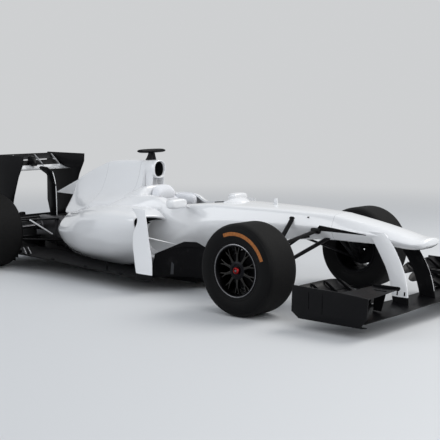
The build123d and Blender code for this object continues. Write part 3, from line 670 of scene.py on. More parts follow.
CAST = brushed("cast_casing", (0.16, 0.16, 0.17), 0.48, fine=90.0, depth=0.35)
NUT_RED = brushed("nut_red_anodised", (0.30, 0.02, 0.022), 0.34)
ALLOY = brushed("light_alloy", (0.55, 0.56, 0.58), 0.34)
SKID = skid_wood()
PAD = cloth("head_pad_fabric", (0.70, 0.71, 0.74), 0.003)
SEAT_CLOTH = cloth("seat_fabric", (0.030, 0.030, 0.034))
GRIP = cloth("grip_suede", (0.022, 0.022, 0.024), 0.002)
LAMP = lamp_red()
GLASS = mirror_glass()

# Body

CELL_FRONT = 300
CELL_REAR = -1700
COCKPIT_FRONT = -655
COCKPIT_REAR = -1590
WHITE_RIM_FRONT = -1110
# Height up to which the cockpit is bare carbon inside, in metres
BARE_TOP = 0.56

# x, then the half width and the height of the foot, the waist and the top
CELL_SECTIONS = (
    (300, 125, 492, 165, 588, 122, 688),
    (0, 150, 476, 205, 590, 165, 703),
    (-450, 185, 425, 250, 585, 205, 706),
    (-780, 200, 375, 285, 570, 235, 708),
    (-1180, 190, 70, 292, 450, 248, 664),
    (-1245, 194, 66, 294, 445, 250, 656),
    (-1385, 208, 58, 300, 430, 262, 730),
    (-1700, 220, 56, 300, 430, 255, 712),
)
NOSE_SECTIONS = (
    (300, 125, 492, 165, 588, 122, 688),
    (500, 118, 491, 158, 580, 108, 658),
    (700, 112, 494, 148, 566, 98, 622),
    (880, 106, 478, 146, 532, 92, 582),
    (960, 102, 478, 144, 524, 90, 564),
    (1008, 92, 490, 134, 528, 88, 565),
    (1032, 78, 506, 112, 536, 80, 565),
    (1047, 56, 520, 86, 540, 62, 557),
)
CELL_STATIONS = (
    CELL_FRONT, 290, 0, -450, COCKPIT_FRONT, -845, -1180, -1245, -1310, -1385,
    COCKPIT_REAR, -1690, CELL_REAR,
)
# x, half width of the opening. In front of the cockpit it is the half width of the flat top.
COCKPIT_EDGE = ((-1700, 218), (-1590, 218), (-1100, 196), (-845, 128), (-655, 54), (300, 60))
NOSE_FLAT = 60


def body_ring(x, low_half, low_z, mid_half, mid_z, top_half, top_z, edge, crown=5):
    """A closed section of the hull, with a pair of points at the half width edge on its top."""
    corner = min(26, top_half * 0.2)
    side = (Vector((mid_half, mid_z)) - Vector((top_half, top_z))).normalized()
    half = [
        (0, low_z),
        (low_half * 0.62, low_z),
        (low_half - 6, low_z + 6),
        (low_half + (mid_half - low_half) * 0.22, low_z + (mid_z - low_z) * 0.22),
        (mid_half, mid_z - (mid_z - low_z) * 0.16),
        (mid_half, mid_z + 6),
        (top_half + side.x * corner, top_z + side.y * corner),
        (top_half - 4, top_z - 6),
        (min(edge, top_half - corner), top_z),
        (0, top_z + crown),
    ]
    return section(x, mirrored(half))


def cut_waist_slots(obj):
    """Cuts the slot along the hull's waist, which runs over the nose joint."""
    for side in (1, -1):
        rings = []
        for out in (-15, 40):
            ring = []
            for x, z in ((203, 603), (182, 570), (188, 562), (592, 559), (592, 564)):
                half = between(CELL_SECTIONS if x < CELL_FRONT else NOSE_SECTIONS, x)[2]
                ring.append(at(x, side * (half + out), z))
            rings.append(ring)
        wedge = bridged("slot_cutter", rings)
        object_mode()
        # The slot's near-black faces are painted shade in the recess.
        cut(obj, wedge, DEEP_BLACK)


def hull():
    rings = []
    for x in CELL_STATIONS:
        (edge,) = between(COCKPIT_EDGE, x)
        rings.append(body_ring(x, *between(CELL_SECTIONS, x), edge, 5 if x > COCKPIT_FRONT else 2))
    obj = bridged("monocoque_shell", rings)

    def over_cockpit(face):
        centre = face.calc_center_median()
        x, y, z = (centre.x - AXLE) * 1000, abs(centre.y) * 1000, centre.z * 1000
        (edge,) = between(COCKPIT_EDGE, x)
        top = between(CELL_SECTIONS, x)[-1]
        return COCKPIT_REAR < x < COCKPIT_FRONT and y < edge and z > top - 20 and face.normal.z > 0.7

    choose(obj, over_cockpit, "faces")
    bpy.ops.mesh.delete(type="FACE")
    creased(obj, lambda edge: edge.is_boundary, 0.55)
    creased(obj, on_plane(X, at(CELL_FRONT).x, at(CELL_REAR).x))
    object_mode()
    modified(obj, "SOLIDIFY", thickness=0.020, offset=-1.0, use_even_offset=True)
    rounded(obj)
    done(obj, WHITE, "monocoque")

    def inside(face):
        x = (face.center.x - AXLE) * 1000
        row = between(CELL_SECTIONS, x)
        away = Vector((0, face.center.y, face.center.z - (row[1] + row[5]) / 2000))
        white_rim = face.center.z > BARE_TOP and face.center.x < at(WHITE_RIM_FRONT).x
        clear_of_ends = CELL_REAR + 10 < x < CELL_FRONT - 10
        return clear_of_ends and face.normal.dot(away) < -0.3 * away.length and not white_rim

    refinished(obj, INNER, inside)
    cut_waist_slots(obj)


def nose():
    rings = [body_ring(*row, NOSE_FLAT) for row in NOSE_SECTIONS]
    rings.insert(1, body_ring(310, *between(NOSE_SECTIONS, 310), NOSE_FLAT))
    obj = smooth_skin("nose_shell", rings, on_plane(X, at(CELL_FRONT).x))
    done(obj, WHITE_NOSE, "nose_cone")
    cut_waist_slots(obj)


# z, then x of the tail and the nose, y and thickness
PYLON_SECTIONS = (
    (590, 578, 738, 137, 16),
    (525, 648, 806, 144, 16),
    (450, 698, 857, 152, 16),
    (350, 768, 915, 162, 16),
    (250, 809, 951, 171, 18),
    (158, 831, 966, 180, 20),
    (92, 842, 972, 186, 20),
)
SIDE_VANE_SECTIONS = (
    (119, -1180, -1000, 690, 14),
    (163, -1197, -1008, 688, 15),
    (280, -1224, -1012, 680, 16),
    (377, -1245, -1045, 676, 16),
    (480, -1238, -1056, 680, 16),
    (562, -1166, -1068, 684, 16),
    (620, -1192, -1084, 680, 16),
    (665, -1246, -1094, 676, 16),
)
HOOP_LEG_SECTIONS = (
    (690, -1700, -1628, 72, 20),
    (760, -1700, -1620, 70, 17),
    (850, -1700, -1610, 68, 18),
    (905, -1698, -1606, 66, 24),
)
AIR_MAST_SECTIONS = (
    (684, -366, -312, 0, 17),
    (700, -362, -314, 0, 15),
    (740, -355, -320, 0, 13),
    (756, -352, -322, 0, 10),
)
CAMERA_POST_SECTIONS = (
    (1000, -1772, -1640, 0, 44),
    (1020, -1756, -1648, 0, 38),
    (1048, -1738, -1656, 0, 30),
    (1076, -1732, -1662, 0, 28),
)
# Heights up to which a pylon and a side vane are dark, in metres
PYLON_FOOT = 0.160
VANE_FOOT = 0.158
# Share of the chord from the tail, share of the thickness
FOIL = both_ways(((1.0, 0.0), (0.965, 0.34), (0.80, 0.50), (0.50, 0.50), (0.22, 0.34), (0.02, 0.12)))


def vane(name, rows):
    """An upright vane: round nose, fine tail."""
    rings = []
    for z, rear, front, y, thickness in rows:
        rings.append([at(rear + x * (front - rear), y + side * thickness, z) for x, side in FOIL])
    return smooth_skin(name, rings, on_plane(Z, rings[0][0].z, rings[-1][0].z))


def pylons():
    obj = pair("nose_pylon_pair", vane("pylon", PYLON_SECTIONS))
    done(obj, WHITE, "nose_pylons")

    def dark(face):
        faces_inward = face.normal.y * face.center.y < -0.6 * abs(face.center.y)
        return faces_inward or face.center.z < PYLON_FOOT

    refinished(obj, FLOOR_CARBON, dark)
    for low, high in ((181, 200), (-200, -181)):
        for x in (872, 930):
            cut(obj, block("pylon_slot", (x, low, 172), (x + 12, high, 200)), DEEP_BLACK)


def vanes():
    obj = pair("side_vane_pair", vane("side_vane", SIDE_VANE_SECTIONS))
    done(obj, WHITE, "side_vanes")
    refinished(obj, FLOOR_CARBON, lambda face: face.center.z < VANE_FOOT)


# x, then half width and height of the spine, neck, shoulder and foot, then the base's height
COVER_SECTIONS = (
    (-1700, 72, 1004, 84, 880, 130, 760, 300, 660, 560),
    (-1950, 66, 998, 82, 860, 140, 740, 320, 640, 520),
    (-2200, 40, 980, 62, 840, 120, 710, 300, 604, 470),
    (-2480, 14, 872, 34, 780, 90, 680, 235, 524, 470),
    (-2700, 8, 770, 16, 720, 50, 640, 150, 506, 470),
)
COVER_STATIONS = (-1700, -1780, -1950, -2080, -2200, -2340, -2480, -2600, -2700)
FIN_OUTLINE = (
    (-2150, 978), (-2220, 968), (-2957, 653), (-2950, 647), (-2728, 643), (-2600, 640), (-2200, 700),
)


def cover_ring(x, top_half, top_z, neck_half, neck_z, shoulder_half, shoulder_z, foot_half, foot_z, base_z):
    half = [
        (0, base_z),
        (foot_half * 0.8, base_z),
        (foot_half, (base_z + foot_z) / 2),
        (foot_half * 0.96, foot_z),
        ((foot_half + shoulder_half) / 2, (foot_z + shoulder_z) / 2 - 8),
        (shoulder_half, shoulder_z),
        (neck_half, neck_z),
        (top_half, (top_z + neck_z) / 2 + 18),
        (top_half * 0.72, top_z - 8),
        (0, top_z),
    ]
    return section(x, mirrored(half))


def cover():
    rings = [cover_ring(x, *between(COVER_SECTIONS, x)) for x in COVER_STATIONS]
    obj = smooth_skin("engine_cover_shell", rings, on_plane(X, at(COVER_STATIONS[0]).x))
    fin = upright("cover_fin", -4, FIN_OUTLINE, 8, 0.003)
    done(joined("engine_cover_shell", [obj, fin]), WHITE_COVER, "engine_cover")


INTAKE_Z = 926
INTAKE_SQUARENESS = 0.85
# x behind which the intake is dark inside, half width and half height of what is dark
THROAT_FRONT = -1612
THROAT_HALF_WIDTH = 58
THROAT_HALF_HEIGHT = 65
# x, half width, half height, height over INTAKE_Z
INTAKE_RINGS = (
    (-1790, 66, 70, -4),
    (-1700, 76, 80, 0),
    (-1640, 80, 82, 0),
    (-1600, 78, 80, 0),
    (-1592, 71, 73, 0),
    (-1594, 62, 68, 0),
    (-1606, 56, 63, 0),
    (-1650, 50, 57, 0),
    (-1770, 44, 50, 0),
)
# x, then the half width and the height of the fairing's foot and of its top edge
HOOP_FAIRING = (
    (-1592, 222, 716, 146, 790),
    (-1640, 228, 714, 144, 788),
    (-1700, 234, 706, 138, 776),
    (-1760, 236, 696, 128, 757),
    (-1850, 240, 680, 120, 735),
    (-1960, 235, 660, 110, 705),
)
# x, then the outline in y and z
COCKPIT_SHOULDERS = (
    (-1300, ((250, 600), (272, 600), (262, 640), (256, 656), (246, 658))),
    (-1385, ((250, 600), (290, 600), (274, 676), (265, 712), (246, 716))),
    (-1592, ((236, 600), (340, 606), (300, 660), (266, 708), (234, 722))),
    (-1700, ((190, 600), (380, 610), (316, 656), (236, 708), (180, 730))),
    (-1800, ((180, 600), (390, 606), (320, 646), (230, 692), (170, 712))),
    (-1920, ((180, 590), (380, 590), (318, 622), (228, 660), (160, 676))),
)


def squared(turn):
    """The cosine and sine of a squarer ellipse."""
    return [math.copysign(abs(part) ** INTAKE_SQUARENESS, part) for part in (math.cos(turn), math.sin(turn))]


def hoop():
    turns = [squared(math.tau * number / 20) for number in range(20)]
    rings = []
    for x, half_width, half_height, rise in INTAKE_RINGS:
        z = INTAKE_Z + rise
        rings.append([at(x, half_width * wide, z + half_height * tall) for wide, tall in turns])
    intake = smooth_skin("intake_shell", rings)
    legs = pair("hoop_legs", vane("hoop_leg", HOOP_LEG_SECTIONS))
    rings = []
    for x, low_half, low_z, half, z in HOOP_FAIRING:
        middle_half, middle_z = (low_half + half) / 2 + 4, (low_z + z) / 2 + 3
        side = [
            (0, 640),
            (low_half, 640),
            (low_half + 4, low_z - 22),
            (low_half, low_z),
            (middle_half, middle_z),
            (half + 8, z - 6),
            (half * 0.7, z + 4),
            (0, z + 8),
        ]
        rings.append(section(x, mirrored(side)))
    fairing = smooth_skin("hoop_fairing", rings)
    shoulder = smooth_skin("cockpit_shoulder", [section(x, points) for x, points in COCKPIT_SHOULDERS])
    obj = joined("roll_hoop_shell", [intake, legs, fairing, pair("cockpit_shoulders", shoulder)])
    done(obj, WHITE, "roll_hoop", 50)

    def inside(face):
        wide = face.center.y * 1000 / THROAT_HALF_WIDTH
        tall = (face.center.z * 1000 - INTAKE_Z) / THROAT_HALF_HEIGHT
        return face.center.x < at(THROAT_FRONT).x and math.hypot(wide, tall) < 1

    refinished(obj, DEEP_BLACK, inside)


# x, then y and z of the inner and outer top corners, the waist, the tuck, the foot and the heel
SIDEPOD_SECTIONS = (
    (-1300, (216, 562), (600, 600), (622, 540), (554, 360), (414, 226), (216, 220)),
    (-1345, (216, 618), (606, 604), (623, 532), (552, 342), (408, 205), (216, 180)),
    (-1385, (216, 650), (610, 604), (624, 526), (550, 330), (404, 186), (216, 150)),
    (-1420, (216, 655), (615, 602), (625, 520), (548, 320), (400, 170), (216, 130)),
    (-1700, (216, 655), (600, 597), (606, 475), (524, 232), (346, 116), (150, 116)),
    (-2120, (150, 640), (474, 545), (514, 426), (476, 217), (318, 124), (150, 124)),
    (-2400, (100, 600), (352, 480), (408, 386), (392, 252), (257, 134), (100, 134)),
    (-2620, (80, 560), (242, 440), (303, 371), (290, 312), (188, 192), (80, 150)),
)
POD_FRONT = -1300
POD_STATIONS = (POD_FRONT, -1316, -1345, -1385, -1440, -1560, -1700, -1900, -2120, -2260, -2400, -2520, -2620)
POD_LEAN = -0.12
LEAN_END = -1500
POD_HALF_WIDTH = 622
# The box that holds the air duct's painted shade and radiator face, in metres: depth behind the mouth, side
# and height, then its middle line
DUCT_DEPTH = (0.02, 0.29)
DUCT_SIDE = (0.3, 0.6)
DUCT_HEIGHT = (0.29, 0.6)
DUCT_MIDDLE_Y = 0.45
DUCT_MIDDLE_Z = 0.46
CELL_SIDE = 0.255


def pod_ring(x):
    rows = [(place, *map(Vector, corners)) for place, *corners in SIDEPOD_SECTIONS]
    inner, outer, waist, tuck, foot, heel = between(rows, x)
    points = [
        inner,
        inner.lerp(outer, 0.5) + Vector((0, 4)),
        outer.lerp(inner, 0.13),
        outer.lerp(waist, 0.35),
        waist.lerp(tuck, 0.12),
        waist.lerp(tuck, 0.55) + Vector((-6, 0)),
        tuck.lerp(foot, 0.15),
        tuck.lerp(foot, 0.6) + Vector((-8, 0)),
        foot,
        foot.lerp(heel, 0.5),
        heel,
        heel.lerp(inner, 0.5),
    ]
    lean = POD_LEAN * max(0, (x - LEAN_END) / (POD_FRONT - LEAN_END))
    return [at(x - lean * (POD_HALF_WIDTH - y), y, z) for y, z in points]


def sidepods():
    obj = bridged("sidepod_shell", [pod_ring(x) for x in POD_STATIONS])

    def at_mouth(face):
        return len(face.verts) == 12 and face.calc_center_median().x > at(LEAN_END).x

    choose(obj, at_mouth, "faces")
    bpy.ops.mesh.inset(thickness=0.016)
    for depth, narrower, lower in ((0.03, 0.97, 0.96), (0.20, 0.9, 0.9)):
        bpy.ops.mesh.extrude_region_move(TRANSFORM_OT_translate={"value": (-depth, 0, 0)})
        bpy.ops.transform.resize(value=(1, narrower, lower))
    outward()
    object_mode()
    rounded(obj)

    # Black on the duct's back face, which stands for the radiator; black on its walls deeper than the lip is
    # painted shade.
    def duct_shade_and_radiator(face):
        centre = face.center
        behind = at(POD_FRONT).x - POD_LEAN * (POD_HALF_WIDTH / 1000 - abs(centre.y)) - centre.x
        limits = ((behind, DUCT_DEPTH), (abs(centre.y), DUCT_SIDE), (centre.z, DUCT_HEIGHT))
        if not all(low < value < high for value, (low, high) in limits):
            return False
        middle_y = math.copysign(DUCT_MIDDLE_Y, centre.y)
        away = Vector((0, centre.y - middle_y, centre.z - DUCT_MIDDLE_Z))
        return face.normal.x > 0.6 or face.normal.dot(away) < 0

    def in_cockpit(face):
        beside_cell = abs(face.center.y) < CELL_SIDE and face.center.x > at(CELL_REAR - 20).x
        return beside_cell and face.center.z < BARE_TOP

    for piece in done_each(obj, "sidepod_shell_*", WHITE, "sidepod_", 60):
        refinished(piece, DEEP_BLACK, duct_shade_and_radiator)
        refinished(piece, INNER, in_cockpit)


# Wheels

# Radius, depth behind the tyre's outer side
TYRE_PROFILE = (
    (330.0, 120), (330.0, 70), (329.8, 60), (329.1, 51), (327.7, 43), (325.6, 35.5), (322.9, 28.8),
    (319.6, 23.0), (316.0, 17.8), (312.5, 13.5), (311.5, 11.0), (307.5, 10.5), (306.0, 9.0), (298.0, 6.5),
    (282.0, 3.0), (262.0, 1.0), (248.0, 1.0), (230.0, 3.0), (214.0, 7.5), (212.5, 7.0), (209.0, 7.5),
    (207.5, 9.5), (198.0, 12.5), (189.0, 14.0), (183.5, 20.0), (177.0, 24.0), (176.0, 60.0),
)
RIM_PROFILE = (
    (189.5, 14.5), (188.5, 9.5), (184.5, 8.0), (181.0, 10.5), (179.0, 17.0), (176.0, 30.0), (172.5, 40.0),
    (171.0, 70.0), (158.0, 120.0), (158.0, 158.0),
)
HUB_PROFILE = ((66, 36), (60, 31.5), (44, 30), (40, 34), (22, 34), (22, 58), (66, 58))
NUT_PROFILE = ((27, 34), (27.5, 24), (24, 17), (18, 13), (16, 12), (13.5, 16), (13, 30), (12, 34))
PIN_PROFILE = ((11, 34), (11, 19), (8, 16), (0.01, 16), (0.01, 34))
# Radius, half width of a spoke that forks at its outer end
SPOKE_HALF = (
    (54, 11.0), (96, 8.5), (118, 9.5), (150, 18.5), (171, 24.0), (171, 13.5), (150, 9.0), (126, 3.0),
)
SPOKE_COUNT = 10
SPOKE_FACE = 34
SPOKE_DEPTH = 24
RIM_WALL = 7
LIP_DEPTH = 26
LIP_RADIUS = 182.2


def from_face(profile):
    return [(radius, HALF_WIDTH - depth) for radius, depth in profile]


def both_faces(profile, width):
    return [*profile, *((radius, width - depth) for radius, depth in reversed(profile))]


def rim(x, width):
    centre = at(x, 0, AXLE_Z)
    wall = [(radius - RIM_WALL, max(depth, 12)) for radius, depth in RIM_PROFILE[3:]]
    profile = both_faces(RIM_PROFILE, width) + both_faces(wall, width)[::-1]
    barrel = painted(axle_spun("rim_barrel", x, from_face(profile)), RIM_DARK)

    def on_lip(face):
        radius = math.hypot(face.center.x - centre.x, face.center.z - centre.z) * 1000
        return abs(face.center.y) * 1000 > HALF_WIDTH - LIP_DEPTH and radius > LIP_RADIUS

    refinished(barrel, RIM_LIP, on_lip)
    outline = [(x + side, AXLE_Z + radius) for radius, side in both_ways(SPOKE_HALF)]
    arm = upright("rim_spoke", HALF_WIDTH - SPOKE_FACE, outline, -SPOKE_DEPTH, 0.0028)
    repeated(arm, SPOKE_COUNT, centre)
    hub = axle_spun("rim_hub", x, from_face(HUB_PROFILE), 64)
    nut = edged(axle_spun("rim_nut", x, from_face(NUT_PROFILE), 12), 0.001)
    pin = axle_spun("rim_pin", x, from_face(PIN_PROFILE), 32)
    for part, finish in ((arm, RIM_SPOKE_PAINTED_HIGHLIGHT), (hub, RIM_DARK), (nut, NUT_RED), (pin, STEEL)):
        painted(part, finish)
    return joined("rim", [barrel, arm, hub, nut, pin])


def wheels():
    for end, x, width in (("front_", 0, FRONT_TYRE), ("rear_", REAR_AXLE, REAR_TYRE)):
        body = end + "wheel_*"
        tyre = axle_spun("tyre", x, from_face(both_faces(TYRE_PROFILE, width)), 112)
        done_each(tyre, "tyre_" + end + "*_moulded", RUBBER, "tyre_" + end, 28, body)
        done_each(rim(x, width), "rim_" + end + "*_spoked", None, "rim_" + end, 32, body)


# Wings

BLADE_SHARES = (0.0, 0.05, 0.18, 0.38, 0.6, 0.82, 1.0)
BLADE_NOSE = 0.016
BLADE_TAIL = 0.008


def blade_ring(y, x_lead, z_lead, chord, pitch, depth, belly):
    """A slice of a wing element that bulges downwards: its top to the tail, then its lower side back."""
    turn = math.radians(pitch)

    def put(share, drop):
        back, down = share * chord, drop * chord
        x = x_lead - back * math.cos(turn) - down * math.sin(turn)
        return at(x, y, z_lead + back * math.sin(turn) - down * math.cos(turn))

    def bulge(share, amount):
        return 4 * share * (1 - share) * amount

    ends = {0.0: BLADE_NOSE, 1.0: BLADE_TAIL}
    top = [put(share, bulge(share, belly) - (0 if share else BLADE_NOSE)) for share in BLADE_SHARES]
    low = [put(share, bulge(share, depth) + ends.get(share, 0)) for share in BLADE_SHARES]
    return top + low[::-1]


def wing(name, stations, depth=0.17, belly=0.10):
    """A wing element through rows of y, x lead, z lead, chord and pitch."""
    rings = [blade_ring(*row, depth, belly) for row in stations]
    return smooth_skin(name, rings, on_plane(Y, stations[0][0] / 1000, stations[-1][0] / 1000))


FRONT_ENDPLATE_Y = 888
# x lead, z lead, chord, pitch, inner end
FRONT_FLAPS = (
    (845, 148, 130, 20, 300),
    (738, 188, 118, 28, 330),
    (650, 236, 112, 34, 360),
)
# Distance from the inner end, share of the chord, share of the pitch
FLAP_TIP = ((0, 0.45, 0.45), (30, 0.7, 0.7), (90, 0.92, 0.9), (180, 1, 1))
# y, x lead, z lead, chord, pitch
UPPER_WINGLET = (
    (396, 1018, 258, 212, 0),
    (480, 1032, 260, 216, 1),
    (650, 1058, 262, 218, 3),
    (FRONT_ENDPLATE_Y, 1086, 264, 218, 5),
)
FLAP_BRACKET = (
    (846, 138), (742, 178), (652, 226), (570, 284), (562, 297),
    (596, 290), (664, 246), (752, 198), (852, 156),
)
WINGLET_TIP = ((1022, 274), (1028, 262), (1016, 246), (850, 248), (806, 262), (818, 274))
WINGLET_STAND = ((900, 122), (962, 120), (1000, 262), (905, 262))
FRONT_ENDPLATE = ((1090, 140), (1098, 275), (865, 291), (506, 296), (500, 120), (560, 78), (1040, 78))
# x, z of the lower end, width
ENDPLATE_SLITS = ((748, 128, 6), (640, 150, 5))
ENDPLATE_FOOT = ((1040, 888), (1070, 860), (560, 850), (560, 888))


def front_main_plane():
    rows = []
    for y in (-888, -700, -480, -330, -255, -120, 0, 120, 255, 330, 480, 700, 888):
        share = min(max((abs(y) - 240) / 130, 0), 1)
        rows.append((y, 1080 + 5 * share, 118 - 6 * share, 270, 2 + 4 * share))
    main = wing("front_wing_main_plane", rows, 0.10, 0.05)
    done(main, WING_CARBON, "front_wing_main", 60)


def front_flaps():
    flaps = []
    for x, z, chord, pitch, inner in FRONT_FLAPS:
        rows = []
        stations = [(inner + step, *shares) for step, *shares in FLAP_TIP]
        for y, size, tilt in stations + [(700, 1, 1), (FRONT_ENDPLATE_Y, 1, 1)]:
            back, drop = chord * (1 - size) * 0.4, 10 * (1 - size)
            rows.append((y, x - back, z - drop, chord * size, pitch * tilt))
        flaps.append(wing("front_flap", rows, 0.16, 0.09))
    flaps += [upright("flap_bracket", y, FLAP_BRACKET, 4, 0.001) for y in (470, 620, 770)]
    flaps.append(wing("front_winglet", UPPER_WINGLET, 0.07, 0.03))
    flaps.append(upright("winglet_tip", 392, WINGLET_TIP, 5))
    flaps += [upright("winglet_stand", y, WINGLET_STAND, 4, 0.001) for y in (520, 690)]
    done(pair("front_flap_sets", *flaps), WING_CARBON, "front_wing_flaps", 60)


def front_endplates():
    end = upright("front_endplate", FRONT_ENDPLATE_Y, FRONT_ENDPLATE, 12, 0.003)
    foot = level("front_endplate_foot", 74, ENDPLATE_FOOT, 6, 0.001)
    for x, low, width in ENDPLATE_SLITS:
        cut(end, block("slit", (x, 870, low), (x + width, 910, 262)), DEEP_BLACK)
    done(pair("front_endplates_pair", end, foot), WING_CARBON, "front_wing_endplates")


WING_POD = ((-3258, 908), (-3290, 968), (-3330, 978), (-3372, 972), (-3375, 885), (-3262, 880))
PILLAR_FRONT = ((-2964, 400), (-2966, 572), (-2972, 714), (-2992, 780), (-3020, 846))
PILLAR_REST = (
    (-3100, 880), (-3190, 885), (-3215, 872), (-3190, 848),
    (-3104, 812), (-3066, 740), (-3052, 600), (-3060, 400),
)
WING_BRACKET = (
    (-3300, 872), (-3330, 905), (-3400, 958), (-3440, 985),
    (-3455, 985), (-3415, 930), (-3395, 890), (-3380, 884),
)
REAR_ENDPLATE = (
    (-2990, 925), (-2985, 1000), (-3535, 1000), (-3547, 985), (-3547, 520), (-3480, 300), (-3450, 205),
    (-3250, 187), (-3180, 420), (-3125, 625), (-3060, 800),
)
WHITE_BAND_REAR = -3336


def rear_main_plane():
    main = wing("rear_wing_main_plane", [(y, -3180, 852, 235, 20) for y in (-364, -200, 0, 200, 364)])
    done(main, WING_CARBON, "rear_wing_main", 60)
    band_rear = at(WHITE_BAND_REAR).x
    refinished(main, WHITE, lambda face: face.normal.z > 0.1 and face.center.x > band_rear)


def wing_mount():
    done(upright("wing_pod", -17, WING_POD, 34, 0.008), WING_CARBON)
    done(upright("wing_pillar", -7, PILLAR_FRONT + PILLAR_REST, 14, 0.005), WING_CARBON)
    # A white rod along the black pillar's front edge: a painted highlight.
    done(swept("pillar_painted_highlight", side_view(0, PILLAR_FRONT), 0.0045, 8), WHITE)
    for y in (-340, -130, 130, 340):
        done(upright("wing_bracket", y - 2, WING_BRACKET, 4, 0.001), ALLOY)


def rear_flap():
    rows = [(y, -3405, 940, 105, 30) for y in (-357, -200, 0, 200, 357)]
    flap = wing("rear_wing_flap_plane", rows, 0.14, 0.06)
    done(flap, WING_CARBON, "rear_wing_flap", 60, "drag_flap")


def rear_endplates():
    ends = pair("rear_endplates_pair", upright("rear_endplate", 365, REAR_ENDPLATE, 10, 0.002))
    done(ends, WING_CARBON, "rear_wing_endplates")


def beam_wing():
    beam = wing("beam_wing_plane", [(y, -3300, 345, 150, 22) for y in (-364, -150, 0, 150, 364)])
    done(beam, WING_CARBON, "beam_wing", 60)


# Floor and underside

FLOOR_FRONT = ((-947, 246), (-1087, 520), (-1087, 700), (-1250, 694), (-1250, 246))
FLOOR_REAR = ((-1250, 246), (-1250, 694), (-2748, 640), (-2748, 508), (-2948, 508), (-2948, 246))
FLOOR_STEP = ((-951, 117), (-1250, 117), (-2948, 159), (-2948, 52), (-951, 52))
FLOOR_BEAD = (
    (-1089, 560), (-1089, 650), (-1098, 694), (-1250, 689), (-1700, 673), (-2200, 655), (-2740, 636),
)
FLOOR_EDGE = ((-1087, 700), (-2748, 640))
# x, height of the upper face of the floor's side plates
STEP_TOP = ((-1250, 118), (-2950, 160))
FLOOR_CENTRE_HALF = ((-470, 60), (-520, 110), (-900, 150), (-951, 250), (-2948, 250))


def step_z(x):
    (z,) = between(STEP_TOP, x)
    return z


def on_step(points):
    return [at(x, y, step_z(x)) for x, y in points]


def floor():
    down = Vector((0, 0, -0.006))
    parts = [plate("floor_side", on_step(outline), down) for outline in (FLOOR_FRONT, FLOOR_REAR)]
    parts.append(upright("floor_step", 244, FLOOR_STEP, 6, 0.001))
    parts.append(swept("floor_edge_bead", on_step(FLOOR_BEAD), 0.0045, 8))
    for x in (-1420, -1860, -2300):
        (y,) = between(FLOOR_EDGE, x)
        parts.append(block("floor_tab", (x, y - 34, step_z(x) - 1), (x + 46, y - 30, step_z(x) + 9), 0.001))
    centre = level("floor_centre", 55, both_ways(FLOOR_CENTRE_HALF), -6)
    obj = joined("floor_panels", [pair("floor_sides", *parts), centre])
    done(obj, FLOOR_CARBON, "floor")


def floor_fins():
    fins = []
    for x, y in ((-2700, 600), (-2690, 560)):
        foot = step_z(x) - 2
        outline = ((x - 30, foot), (x + 40, foot), (x - 4, 208), (x - 26, 210))
        fins.append(upright("floor_fin", y, outline, 4, 0.001))
    done(pair("floor_fins_pair", *fins), ALLOY)


def skid():
    obj = level("skid_plank", 49, ((-480, 150), (-480, -150), (-2950, -150), (-2950, 150)), -10, 0.002)
    painted(obj, SKID)
    for x in (-700, -1300, -1900, -2500):
        for y in (-90, 90):
            profile = [at(x + radius, y, z) for radius, z in ((0.01, 36), (18, 36), (18, 44), (0.01, 44))]
            cut(obj, spun("plank_hole", profile, at(x, y), 20, axis=(0, 0, 1)), STEEL)
    done(obj, None, "plank")


DIFFUSER_ROOF = ((-2950, 49), (-3450, 174), (-3450, 180), (-2950, 55))
DIFFUSER_SIDE = ((-2950, 154), (-3450, 199), (-3450, 205), (-2950, 160))
DIFFUSER_KEEL = ((-3190, 112), (-3440, 175), (-3440, 290), (-3190, 270))
# y, front x, then the height of the top at the front and at the rear
DIFFUSER_FENCES = (
    (244, -2950, 157, 202),
    (502, -2950, 157, 202),
    (372, -3080, 166, 202),
    (120, -3010, 56, 180),
)


def diffuser():
    centre = upright("diffuser_roof", -250, DIFFUSER_ROOF, 500)
    parts = [upright("diffuser_side", 246, DIFFUSER_SIDE, 260)]
    for y, start, top_front, top_rear in DIFFUSER_FENCES:
        outline = ((start, top_front), (-3450, top_rear), (-3450, 60), (-3438, 50), (start, 50))
        parts.append(upright("diffuser_fence", y, outline, 5))
    parts.append(bar("diffuser_lip", at(-3446, 250, 205), at(-3446, 504, 205), 0.010, 0.012, 8))
    parts.append(upright("diffuser_keel", 34, DIFFUSER_KEEL, 5))
    obj = joined("diffuser_panels", [centre, pair("diffuser_sides", *parts)])
    done(obj, FLOOR_CARBON, "diffuser")


# x and y at the foot, x and y at the top, height of the top
BARGEBOARD_PLAN = (
    (-1140, 575, -1110, 555, 304),
    (-1050, 500, -1020, 488, 352),
    (-960, 425, -925, 420, 404),
    (-870, 375, -825, 375, 404),
    (-780, 340, -740, 350, 360),
)
BARGEBOARD_FOOT = 119
BARGEBOARD_SHELF = (
    (-1122, 552), (-1040, 484), (-950, 410), (-862, 360), (-800, 341),
    (-800, 311), (-862, 330), (-950, 380), (-1040, 454), (-1122, 522),
)
BLADE_CORNERS = ((-1018, 474, 140), (-1000, 459, 140), (-988, 452, 322), (-1004, 466, 318))


